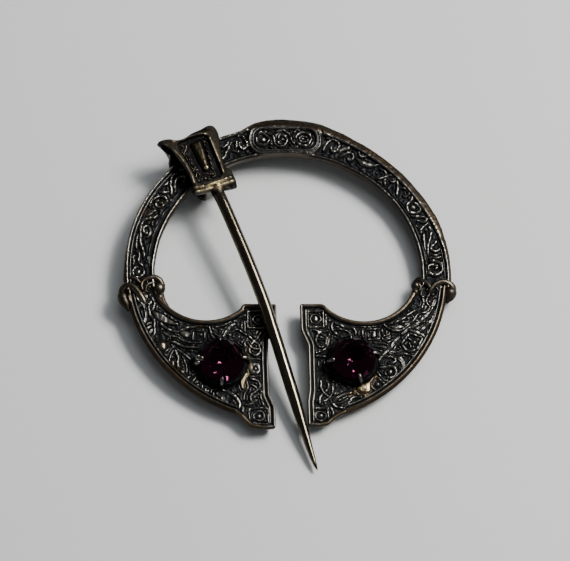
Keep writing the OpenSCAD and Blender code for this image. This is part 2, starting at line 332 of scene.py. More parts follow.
RIGHT_WOVEN = [
    ("d", .52, .34, [22.9,-5.0, 22.5,-6.0, 21.6,-7.3, 20.3,-8.6, 18.9,-9.6, 17.6,-10.6]),
    ("d", .46, .34, [23.1,-6.6, 22.4,-7.9, 21.5,-9.1, 20.6,-9.9]),
    ("s", .38, .34, [20.9,-4.4, 21.2,-5.4, 20.7,-6.3, 19.6,-6.8, 18.5,-7.4, 17.5,-8.2, 16.4,-8.7]),
    ("s", .38, .34, [22.0,-4.0, 21.6,-5.2, 22.1,-6.2, 21.3,-6.9, 20.2,-7.3, 19.5,-8.2, 18.6,-8.9, 17.4,-9.2]),
    ("s", .36, .32, [18.6,-7.2, 19.3,-7.5, 19.9,-8.3, 20.9,-8.6, 22.0,-8.6, 22.5,-9.1]),
    ("s", .36, .32, [22.4,-9.4, 21.5,-10.2, 21.4,-11.4]),
]
RIGHT = [
    ("l", .16, .30, [15.3,-9.3, 16.5,-9.05, 17.9,-9.3, 17.1,-9.75, 15.9,-9.85]),
    ("l", .18, .34, [18.5,-9.9, 19.6,-9.95, 20.9,-10.5, 20.9,-11.1, 19.8,-10.8]),
    ("s", .44, .34, [14.6,-8.95, 15.75,-9.76, 17.1,-10.08, 18.16,-9.49, 18.87,-8.97]),
    ("s", .36, .34, [6.9,-8.6, 6.75,-9.4, 6.95,-10.1, 7.7,-10.8]),
    ("s", .34, .32, [7.2,-8.7, 8.1,-9.2, 9.2,-9.5, 10.2,-9.8, 10.4,-10.7]),
    ("s", .30, .30, [7.5,-9.8, 8.5,-9.95, 9.4,-10.3, 9.7,-10.9]),
    ("s", .30, .28, [9.6,-9.15, 11.6,-9.35, 13.6,-9.3]),
    ("s", .32, .34, [10.9,-9.8, 10.9,-10.9]),
    ("s", .34, .34, [11.5,-9.7, 11.6,-11.3]),
    ("s", .28, .30, [12.1,-9.85, 14.1,-9.8]),
    ("s", .28, .30, [12.2,-11.45, 14.1,-11.4]),
    ("l", .14, .36, [12.95,-10.2, 13.45,-10.2, 13.4,-11.1, 12.95,-11.1]),
    ("s", .26, .30, [12.35,-10.3, 12.4,-11.1]),
    ("s", .34, .34, [14.4,-9.7, 14.6,-10.9]),
    ("s", .30, .32, [15.1,-9.9, 15.2,-10.6]),
    ("s", .24, .34, [14.35,-11.18, 15.8,-10.41]),
    ("s", .24, .34, [15.8,-10.41, 16.07,-11.05]),
    ("s", .24, .34, [16.07,-11.05, 14.57,-11.73]),
    ("s", .24, .34, [14.57,-11.73, 14.35,-11.18]),
    ("s", .18, .26, [14.75,-11.3, 15.75,-10.87]),
    ("s", .30, .30, [14.5,-12.3, 15.4,-11.95, 16.1,-11.6]),
    ("s", .30, .30, [12.9,-11.9, 14.2,-12.1, 15.2,-12.3]),
    ("s", .30, .30, [13.2,-12.6, 14.3,-12.75, 15.0,-12.8]),
    ("s", .30, .28, [13.4,-13.3, 14.4,-13.4]),
    ("d", .46, .36, [17.03,-11.05, 15.62,-12.80, 13.54,-15.36]),
    # framed boss
    ("s", .42, .36, [17.40,-12.25, 18.70,-10.50]),
    ("s", .40, .36, [18.70,-10.50, 20.60,-11.25]),
    ("s", .40, .36, [20.65,-11.30, 19.60,-13.30]),
    ("s", .46, .38, [19.50,-13.35, 18.20,-13.20, 17.38,-12.35]),
    ("s", .26, .30, [18.35,-11.2, 19.15,-11.8]),
    ("s", .26, .30, [20.1,-11.4, 19.5,-11.9]),
    ("s", .24, .28, [19.05,-12.9, 19.2,-12.2]),
    ("o", .44, .44, (19.35,-11.98)),
    # lower right
    ("s", .36, .30, [16.3,-14.0, 17.7,-13.85, 19.1,-14.3]),
    ("s", .40, .34, [15.0,-14.45, 15.8,-14.40, 16.37,-15.05, 15.6,-15.55, 15.1,-15.3]),
    ("s", .52, .36, [13.9,-16.2, 14.6,-16.05, 15.3,-15.85, 16.2,-16.15, 16.4,-17.0, 15.85,-17.8, 14.95,-17.7]),
    ("t", .66, .36, [16.74,-14.5, 17.40,-15.05, 17.55,-16.10, 17.1,-17.4]),
    ("o", .46, .42, (15.40,-16.8)),
    ("s", .38, .34, [13.48,-16.85, 14.12,-17.82, 14.79,-18.28, 15.44,-18.86]),
    ("c", .30, .30, [12.5,-18.5, 13.2,-17.7, 14.1,-18.4, 14.5,-19.2, 13.6,-19.9, 12.7,-19.5]),
    ("o", .40, .40, (13.45,-18.85)),
    ("l", .14, .28, [15.0,-19.4, 15.7,-19.4, 15.4,-19.9, 14.9,-19.9]),
    # smooth patch below the stone and the leaf strands
    ("l", .30, .36, [12.9,-17.3, 11.9,-18.5, 10.5,-19.0, 10.1,-19.7, 10.9,-20.3, 12.2,-20.1, 12.4,-19.0]),
    ("s", .34, .36, [11.2,-20.6, 12.0,-20.9, 12.9,-20.5]),
    ("s", .30, .30, [11.3,-21.9, 12.1,-21.3, 13.1,-21.0]),
    ("s", .46, .34, [9.9,-20.1, 8.4,-20.4, 7.3,-21.0, 6.5,-21.6]),
    ("s", .30, .30, [7.0,-21.9, 7.9,-21.8, 8.8,-21.2]),
    ("s", .42, .34, [6.3,-21.9, 7.3,-22.6, 8.3,-22.7, 9.0,-21.8, 9.7,-21.0, 10.9,-21.0]),
    ("d", .46, .34, [8.9,-23.1, 9.5,-22.1, 10.4,-21.5]),
    ("s", .30, .30, [10.0,-22.9, 10.4,-22.2, 11.2,-21.7]),
    ("s", .30, .30, [7.0,-23.3, 8.1,-23.3]),
    ("s", .34, .32, [6.25,-22.5, 6.5,-23.6, 6.2,-24.6]),
    # column beside the gap
    ("s", .32, .32, [4.1,-14.2, 5.4,-14.2, 6.1,-14.8]),
    ("s", .30, .30, [5.4,-14.9, 5.5,-16.0, 6.1,-17.0]),
    ("s", .28, .28, [4.5,-15.0, 4.5,-16.0]),
    ("s", .34, .34, [4.2,-12.9, 4.35,-13.8]),
    ("s", .34, .34, [5.75,-6.9, 5.95,-7.8, 5.9,-9.3]),
    ("o", .26, .36, (5.4,-22.0)),
]
RIGHT_COLUMN = [
    ("s", .36, .34, [3.9,-9.9, 5.0,-10.4, 5.8,-11.1, 5.8,-12.1, 5.0,-12.7, 4.3,-12.0, 4.3,-11.0, 5.1,-10.2, 6.1,-10.0]),
    ("s", .32, .32, [6.3,-10.6, 6.2,-11.9, 5.6,-13.0, 4.7,-13.5]),
    ("s", .30, .32, [4.5,-11.4, 5.3,-11.5, 6.2,-11.2]),
    ("s", .34, .32, [4.8,-18.2, 4.8,-19.3, 5.3,-20.3, 6.0,-21.0, 6.3,-21.9]),
    ("s", .34, .32, [5.7,-18.2, 5.9,-19.3, 5.3,-20.2, 4.6,-20.9, 4.5,-22.0]),
    ("s", .34, .32, [6.6,-18.9, 6.5,-20.2, 5.7,-21.2, 5.0,-21.6]),
]
RIGHT_CELLS = [(3.1,-6.75,5.5,-9.4), (3.35,-22.7,5.75,-25.2)]
RIGHT_PITS = [(4.9,-16.9,0.75), (6.1,-18.0,0.5)]

# the hoop's ornament, charted as angle in degrees and radius in mm, pairwise
HOOP_L = [
    ("o", .42, .38, (180.6,22.85)),
    ("a", .30, .26, (180.6,22.85,0.88,-80,200)),
    ("s", .32, .30, [178.0,22.2, 176.6,22.6, 175.2,22.9, 173.2,22.9, 171.8,23.2, 171.6,23.6]),
    ("s", .28, .28, [177.6,23.6, 176.0,23.5, 174.6,23.75, 173.4,23.5]),
    ("s", .36, .32, [174.4,22.15, 172.4,22.2, 170.6,22.45, 168.6,22.8, 166.6,23.05, 164.4,23.2, 162.0,23.55, 159.8,23.6, 158.2,23.25, 157.0,22.7, 156.0,22.2, 154.6,21.85]),
    ("s", .30, .28, [170.6,23.35, 168.6,23.55, 166.4,23.65, 164.8,23.6]),
    ("s", .34, .32, [165.6,22.2, 164.2,21.95, 162.6,21.95, 161.0,22.25, 160.6,22.8, 161.8,23.1, 163.2,22.95, 163.7,22.5, 162.8,22.35]),
    ("s", .28, .28, [159.6,21.9, 158.4,22.3, 157.8,22.0]),
    ("l", .22, .34, [157.3,23.5, 155.4,23.6, 153.4,23.2, 152.4,22.5, 153.2,22.3, 154.6,22.6, 156.2,22.9]),
    ("s", .34, .32, [152.6,23.6, 150.6,23.75, 148.0,23.5, 146.4,22.9, 146.2,22.2, 147.4,21.8, 149.2,21.8, 150.6,22.2, 150.9,22.8, 149.6,23.1, 148.3,22.9]),
    ("o", .30, .36, (148.9,22.4)),
    ("s", .30, .30, [145.4,23.7, 144.6,23.0, 143.4,22.4, 142.6,21.9, 141.4,21.7]),
    ("s", .34, .32, [143.8,21.8, 142.0,22.2, 140.6,22.8, 139.2,23.3, 137.4,23.7, 135.2,23.6]),
    ("s", .30, .30, [141.2,21.9, 139.6,22.4, 137.8,22.8, 135.8,22.9, 134.0,22.5, 134.4,21.9, 136.2,21.9]),
    ("s", .30, .28, [142.4,23.7, 141.0,23.5, 139.8,23.75]),
    ("s", .32, .30, [133.0,23.7, 131.0,23.2, 129.4,22.4, 127.2,22.0, 125.2,22.4, 123.6,23.2, 121.6,23.6, 119.6,23.3]),
    ("s", .30, .28, [131.6,22.0, 129.4,23.0, 127.4,23.6, 125.2,23.4, 123.2,22.4, 121.2,22.0, 119.2,22.3]),
    ("s", .38, .36, [117.0,21.3, 115.2,21.55, 113.8,22.0, 112.6,22.45, 111.4,22.95, 110.3,23.45, 109.2,23.5, 108.4,23.2, 108.5,22.6, 109.2,22.4]),
    ("s", .30, .30, [114.6,23.1, 113.2,23.1, 111.8,23.4, 110.8,23.9]),
    ("o", .30, .36, (107.0,24.25)),
    ("s", .34, .34, [105.6,24.0, 104.9,23.6, 104.4,22.9, 104.3,22.3, 105.2,21.9, 106.4,21.8, 107.4,22.2, 107.2,22.9, 106.3,22.9]),
    ("s", .28, .28, [111.2,22.1, 109.8,21.7, 108.2,21.6]),
]
HOOP_R = [
    ("s", .34, .32, [72.6,21.4, 72.4,22.4, 71.6,23.4, 70.2,23.95, 68.4,23.8, 67.4,23.1, 67.6,22.3, 68.9,21.95, 69.9,22.4, 69.6,23.0]),
    ("s", .30, .30, [73.2,23.9, 71.6,23.95]),
    ("l", .28, .34, [67.0,22.6, 65.6,23.5, 63.8,23.95, 62.6,23.6, 63.4,23.1, 65.0,22.6, 66.2,22.0]),
    ("s", .34, .34, [65.6,21.5, 64.0,22.1, 62.4,22.9, 61.0,22.8, 60.4,22.1, 61.4,21.6, 62.4,21.9]),
    ("s", .32, .34, [60.6,24.0, 59.3,23.9, 58.6,23.3, 57.4,23.2, 56.3,23.6, 55.4,24.0]),
    ("o", .24, .34, (57.7,23.75)),
    ("l", .30, .34, [60.0,22.6, 58.2,22.2, 56.0,21.9, 54.0,22.0, 52.0,22.5, 50.2,23.4, 48.8,23.9, 50.4,23.8, 52.4,23.3, 54.4,22.9, 57.0,22.75]),
    ("o", .22, .34, (48.6,22.35)),
    ("s", .34, .34, [48.4,23.3, 47.0,23.35, 45.6,23.1, 44.6,22.5, 43.6,22.0, 42.2,21.75]),
    ("s", .30, .30, [47.0,21.7, 45.8,22.0, 44.8,23.0, 43.8,23.7, 42.4,23.85, 41.4,23.4, 41.6,22.8, 42.6,22.8]),
    ("o", .20, .32, (42.1,23.35)),
    ("s", .34, .34, [41.0,23.9, 39.8,23.4, 38.4,22.85, 37.0,22.3, 35.6,21.9]),
    ("s", .30, .32, [37.4,23.4, 36.2,23.8, 34.8,23.85, 33.6,23.5, 33.7,22.85, 34.6,22.8]),
    ("s", .36, .34, [32.6,23.9, 31.4,23.55, 30.7,22.9, 30.3,22.3, 28.8,21.95, 27.0,22.1, 25.8,22.8, 25.6,23.5, 26.8,23.9, 28.4,23.75, 29.6,23.5]),
    ("o", .34, .36, (28.2,22.95)),
    ("s", .32, .32, [25.4,22.0, 24.2,22.4, 23.4,23.1, 22.4,23.75, 21.2,23.8, 20.9,23.1, 21.6,22.7, 22.3,22.4]),
    ("s", .34, .34, [20.2,23.9, 19.4,23.5, 18.9,22.8, 17.8,22.3, 16.6,22.3]),
    ("s", .32, .32, [19.8,22.2, 20.4,21.8]),
    ("s", .34, .34, [18.6,23.75, 17.2,23.95, 15.8,23.75, 14.0,23.35, 12.4,23.0, 10.6,22.65, 8.6,22.45, 6.4,22.4]),
    ("o", .24, .32, (17.3,23.15)),
    ("s", .32, .32, [16.4,22.65, 14.2,22.35, 12.0,22.15, 9.6,21.98, 7.2,21.9, 4.6,21.8, 2.4,21.7]),
    ("s", .32, .32, [12.2,24.2, 10.8,23.8, 10.1,23.2, 9.0,23.1, 8.2,23.6, 8.4,24.2, 9.3,24.3]),
    ("s", .30, .30, [7.2,24.4, 6.6,23.7, 6.8,23.0]),
    ("s", .30, .30, [5.6,24.4, 5.2,23.6, 5.6,22.9, 5.2,22.4]),
    ("s", .40, .38, [4.2,22.4, 3.9,23.3, 3.2,24.05, 1.8,24.3, 0.2,24.25, -1.2,23.8, -1.9,23.1, -1.5,22.45, -0.2,22.1, 1.4,22.2, 2.4,22.7, 2.3,23.3, 1.3,23.5, 0.5,23.2]),
]
CART = [
    ("a", .34, .34, (-3.15,22.4,1.0,-200,95)),
    ("o", .42, .38, (-3.1,22.35)),
    ("s", .30, .32, [-3.9,23.2, -3.4,23.7, -2.5,23.75, -1.7,23.3, -1.3,22.5, -1.1,21.6, -0.4,21.2, 0.4,21.4, 0.65,22.2, 0.4,23.0, -0.3,23.2, -0.6,22.6]),
    ("s", .30, .30, [-2.1,21.3, -1.6,20.95, -1.0,20.95]),
    ("s", .30, .32, [-1.0,23.8, -0.2,24.0, 0.6,23.8, 1.2,23.1, 1.5,22.3, 1.9,21.6]),
    ("s", .30, .30, [0.9,21.0, 1.7,21.0, 2.4,21.25]),
    ("a", .36, .36, (3.35,22.5,1.18,-150,165)),
    ("a", .28, .30, (3.3,22.5,0.55,30,300)),
    ("o", .22, .34, (3.3,22.5)),
    ("s", .28, .30, [1.7,23.7, 2.3,24.0, 2.9,23.95]),
]


# ---------------------------------------------------------------- outlines
RING_R = 25.0


def arc(cx, cy, r, a0, a1, step=0.12):
    n = max(2, int(abs(math.radians(a1 - a0)) * r / step))
    t = np.radians(np.linspace(a0, a1, n))
    return np.stack([cx + r * np.cos(t), cy + r * np.sin(t)], 1)


def line(*P, step=0.12):
    P = np.asarray(P, float)
    out = [P[:1]]
    for a, b in zip(P[:-1], P[1:]):
        n = max(1, int(np.hypot(*(b - a)) / step))
        out.append(a + (b - a) * np.linspace(0, 1, n + 1)[1:, None])
    return np.vstack(out)


def left_edges():
    return [
        ("outer", arc(0, 0, RING_R, 185.0, 250.6)),
        ("ear", line((-8.3, -23.58), (-7.6, -24.1), (-6.75, -25.1), (-6.1, -25.75), (-4.3, -26.05), (-2.45, -25.9))),
        ("gap", line((-2.45, -25.9), (-2.3, -25.6), (-2.3, -22.4), (-3.1, -20.5), (-3.15, -15.0), (-3.05, -11.4), (-1.75, -9.75), (-1.7, -9.5), (-1.7, -5.7))),
        ("ear", line((-1.7, -5.7), (-1.9, -5.52), (-6.6, -5.5), (-6.95, -5.7), (-7.25, -6.28))),
        ("scallop", arc(-12.5, 0, 8.2, -50.2, -151.0)),
        ("collar", line((-19.67, -3.98), (-19.92, -2.2), (-24.9, -2.3))),
    ]


def right_edges():
    return [
        ("outer", arc(0.12, 0, RING_R, -4.6, -70.6)),
        ("ear", line((8.3, -23.58), (7.6, -23.9), (6.55, -24.6), (5.75, -25.35), (4.4, -25.68), (2.75, -25.6))),
        ("gap", line((2.75, -25.6), (2.6, -25.4), (2.6, -21.6), (2.9, -19.8), (2.95, -12.4), (2.0, -10.1), (1.95, -9.8), (1.95, -5.7))),
        ("ear", line((1.95, -5.7), (2.15, -5.52), (5.3, -5.5), (5.75, -5.7), (6.3, -6.3))),
        ("scallop", arc(11.8, -0.1, 8.3, -131.5, -25.2)),
        ("collar", line((19.31, -3.63), (19.92, -1.8), (24.92, -2.0))),
    ]


# rim profiles: distance from the edge -> height over the floor
RIM = {
    "outer": ([0, .12, .34, .52, .66, .80, .92, 1.02, 1.14, 1.28, 1.36],
              [.02, .15, .32, .41, .37, .05, -.05, .20, .28, .16, -.02]),
    "ear": ([0, .08, .20, .42, .58, .68, .80],
            [.10, .27, .38, .38, .28, .02, -.04]),
    "gap": ([0, .06, .18, .34, .46, .58, .70, .82, .94, 1.06, 1.14],
            [.16, .32, .40, .36, .08, -.06, .14, .30, .27, .10, -.02]),
    "scallop": ([0, .08, .22, .50, .68, .80, .92, 1.02],
                [.08, .26, .38, .37, .28, .02, -.06, -.02]),
    "collar": ([0, 1], [0, 0]),
}
RIM_END = {"outer": 1.32, "ear": .76, "gap": 1.10, "scallop": .98, "collar": -1.0}
BREAK = {"outer": .95, "ear": .2, "gap": .8, "scallop": .9, "collar": 0}


def edge_field(X, Y, edges):
    """Distance of each point to the nearest edge of the outline, and which edge that is."""
    best = np.full(len(X), 1e9)
    kind = np.zeros(len(X), int)
    for k, (name, L) in enumerate(edges):
        L = L[::3] if len(L) > 12 and (len(L) - 1) % 3 == 0 else L
        lo, hi = L.min(0) - 1.6, L.max(0) + 1.6
        idx = np.nonzero((X > lo[0]) & (X < hi[0]) & (Y > lo[1]) & (Y < hi[1]))[0]
        d = near(X[idx], Y[idx], L)[0]
        m = d < best[idx]
        best[idx[m]] = d[m]
        kind[idx[m]] = k
    return best, kind


def put(H, X, Y, chart, floor, E=None):
    for row in chart:
        k = row[0]
        if k in "sdtb":
            L = spline(row[3])
            lay(H, X, Y, L, row[1], row[2], floor, style=k, taper=0.22)
        elif k == "c":
            L = spline(row[3], closed=True)
            lay(H, X, Y, L, row[1], row[2], floor)
        elif k == "o":
            boss(H, X, Y, row[3][0], row[3][1], row[1], row[2], floor)
            echo(E, X, Y, np.array([row[3], (row[3][0] + .01, row[3][1])]), row[1])
            continue
        elif k == "l":
            leaf(H, X, Y, row[3], row[2], floor, edge=row[1])
            L = spline(row[3], closed=True, step=.15)
            echo(E, X, Y, L, 0, fill=True)
            continue
        elif k == "a":
            x, y, r, a0, a1 = row[3]
            t = np.radians(np.linspace(a0, a1, 24))
            L = np.stack([x + r * np.cos(t), y + r * np.sin(t)], 1)
            lay(H, X, Y, L, row[1], row[2], floor)
        elif k == "S":
            x, y, r, turns, a0 = row[3]
            t = np.linspace(0, 1, 40)
            rr = 0.28 + (r - 0.28) * t
            a = math.radians(a0) + t * turns * 2 * math.pi
            L = np.stack([x + rr * np.cos(a), y + rr * np.sin(a)], 1)
            lay(H, X, Y, L, row[1], row[2], floor)
            boss(H, X, Y, x, y, 0.24, row[2] + 0.04, floor)
        echo(E, X, Y, L, row[1] / 2)


def echo(E, X, Y, L, half, fill=False):
    """Keeps the distance from every point to the nearest charted edge."""
    if E is None:
        return
    L = L[::2] if len(L) > 8 else L
    lo, hi = L.min(0) - 1.5, L.max(0) + 1.5
    idx = np.nonzero((X > lo[0]) & (X < hi[0]) & (Y > lo[1]) & (Y < hi[1]))[0]
    if not len(idx):
        return
    d = near(X[idx], Y[idx], L)[0] - half
    if fill:
        d[inside(X[idx], Y[idx], L)] = -1
    E[idx] = np.minimum(E[idx], d)


def fill_echoes(H, E, X, Y, floor, h=0.27, gap=0.13, pitch=0.40, seed=3):
    """Short worn ridges and lumps that follow the charted strands through whatever field is left."""
    w = 0.80 * pitch
    k = (E - gap) / pitch
    n = np.floor(k)
    f = (k - n) * pitch
    q = (f - w / 2) / (w / 2)
    brk = noise2(X, Y, 0.55, seed) + 0.7 * noise2(X, Y, 1.5, seed + 5)
    on = (E > gap) & (abs(q) < 1) & (brk > -0.22)
    lump = 1.0 + 0.45 * noise2(X, Y, 0.31, seed + 9)
    top = floor + h * lump * np.sqrt(np.clip(1 - abs(q) ** 2.0, 0, 1)) * np.clip((brk + 0.22) / 0.45, 0, 1) ** 0.7
    H[on] = np.maximum(H[on], top[on])
    m = (E > gap) & ~on
    H[m] = H[m] + 0.07 * np.clip(noise2(X[m], Y[m], 0.33, seed + 13), -0.4, 1)


def wear(H, X, Y, seed=1):
    return H + 0.030 * noise2(X, Y, 0.45, seed) + 0.014 * noise2(X, Y, 0.2, seed + 1) + 0.035 * noise2(X, Y, 1.4, seed + 2)


def terminal_height(X, Y, side):
    """Height of a terminal's front, and the distance to its outline."""
    floor = 1.5
    edges = left_edges() if side == "l" else right_edges()
    d, kind = edge_field(X, Y, edges)
    names = np.array([e[0] for e in edges])[kind]
    H = np.full(len(X), floor) + 0.015 * noise2(X, Y, 0.3, 7)
    E = np.full(len(X), 9.0)
    end = np.array([RIM_END[e[0]] for e in edges])[kind]
    E = np.minimum(E, np.where(names == "collar", 9.0, d - end))
    U, W = warp(X, Y)
    woven, plain, column, cells = ((LEFT_WOVEN, LEFT, LEFT_COLUMN, LEFT_CELLS) if side == "l"
                                   else (RIGHT_WOVEN, RIGHT, RIGHT_COLUMN, RIGHT_CELLS))
    for group in (woven, column):
        weave(H, U, W, group, floor)
        for s in group:
            echo(E, U, W, spline(s[3]), s[1] / 2)
    put(H, U, W, plain, floor, E)
    for a, b, c, e in cells:
        box = np.array([[a, b], [c, b], [c, e], [a, e], [a, b]], float)
        lay(H, U, W, box, .34, .34, floor)
        echo(E, U, W, box, .17)
        mx, my = (a + c) / 2, (b + e) / 2
        ring = np.array([[mx + .82 * math.cos(t), my + .74 * math.sin(t)] for t in np.radians(range(0, 361, 15))])
        lay(H, U, W, ring, .28, .27, floor)
        echo(E, U, W, ring, .14)
        boss(H, U, W, mx, my, .42, .40, floor)
        echo(E, U, W, np.array([[mx, my], [mx + .01, my]]), .42)
    c = STONES[side]
    rs = np.hypot(X - c[0], Y - c[1])
    E = np.minimum(E, rs - 3.95)
    fill_echoes(H, E, X, Y, floor, h=0.24)
    if side == "r":
        for x, y, r in RIGHT_PITS:
            q = np.hypot(X - x, Y - y) / r
            H = np.where(q < 1, np.minimum(H, floor - 0.14 + 0.3 * q ** 4), H)
    # rims
    for n, (xs, hs) in RIM.items():
        if n == "collar":
            continue
        m = (names == n) & (d < RIM_END[n])
        v = np.interp(d[m], xs, hs)
        v = v + np.where(d[m] > BREAK[n], 0.03, 0.008) * noise2(X[m], Y[m], 0.9, 11)
        H[m] = floor + v
    # the round base of the stone's setting
    m = rs < 3.98
    H[m] = np.where(rs[m] > 3.84, floor - 0.08, floor + 0.1)
    W0 = wear(H, X, Y)
    H = np.where((d < 0.8) & (names != "collar"), H + 0.3 * (W0 - H), W0)
    m = rs < 3.62
    H[m] = np.clip(2.85 - (3.45 - rs[m]) * 0.80 - 0.12, 0.12, 1.6)
    return H, d


STONES = {"l": (-10.25, -15.4), "r": (9.75, -15.1)}


def hoop_edges(th):
    """Inner and outer radius of the hoop at each angle."""
    deg = np.degrees(th)
    ro = np.interp(deg, [-8, 0, 6, 14, 22, 27, 33, 42, 56, 60, 64, 68, 72, 76, 81, 86, 90.8, 95, 99, 102.5, 105, 108, 150, 176, 183, 188],
                   [25.72, 25.68, 25.64, 25.60, 25.54, 25.36, 25.22, 25.14, 25.14, 25.22, 25.38, 25.60, 25.80, 26.02, 26.12, 26.12, 26.18, 26.10, 25.92, 25.50, 25.08, 25.0, 24.96, 25.0, 25.15, 25.3])
    ri = np.interp(deg, [-8, 10, 22, 34, 46, 58, 70, 80, 100, 112, 125, 140, 150, 160, 170, 180, 188],
                   [20.92, 20.88, 20.80, 20.70, 20.55, 20.36, 20.22, 20.06, 20.04, 20.08, 20.0, 19.96, 20.0, 20.08, 20.2, 20.32, 20.36])
    ro = ro + 0.035 * noise2(deg * 0.393, 0 * deg, 1.1, 91) + 0.02 * noise2(deg * 0.393, 0 * deg, 0.45, 92)
    ri = ri + 0.02 * noise2(deg * 0.393, 0 * deg, 1.4, 93)
    return ri, ro


def crest(th):
    """Radius of the crest of the outer rim, farther in along the upper right."""
    deg = np.degrees(th)
    return np.interp(deg, [-10, 0, 8, 15, 22, 30, 42, 58, 70, 90, 104, 112, 140, 165, 180, 190],
                     [25.15, 25.10, 24.98, 24.72, 24.38, 24.10, 23.90, 23.96, 24.3, 24.6, 24.6, 24.5, 24.56, 24.62, 24.5, 24.55])


CART_BOX = (-4.66, 20.52, 5.52, 24.42, 1.7)     # crest of the cartouche's frame: x, y, x, y, corner radius


def box_distance(X, Y, box):
    x0, y0, x1, y1, r = box
    cx, cy = (x0 + x1) / 2, (y0 + y1) / 2
    qx = abs(X - cx) - ((x1 - x0) / 2 - r)
    qy = abs(Y - cy) - ((y1 - y0) / 2 - r)
    return np.hypot(np.maximum(qx, 0), np.maximum(qy, 0)) + np.minimum(np.maximum(qx, qy), 0) - r


def polar_rows(rows):
    """Rows charted as (angle, radius) turned into plan coordinates."""
    out = []
    for row in rows:
        P = row[3]
        if row[0] in "oa":
            t = math.radians(P[0])
            q = (P[1] * math.cos(t), P[1] * math.sin(t)) + tuple(P[2:])
            if row[0] == "a":
                q = q[:3] + (P[0] + P[3], P[0] + P[4])
            out.append((row[0], row[1], row[2], q))
        else:
            A = np.asarray(P, float).reshape(-1, 2)
            t = np.radians(A[:, 0])
            out.append((row[0], row[1], row[2], np.stack([A[:, 1] * np.cos(t), A[:, 1] * np.sin(t)], 1)))
    return out


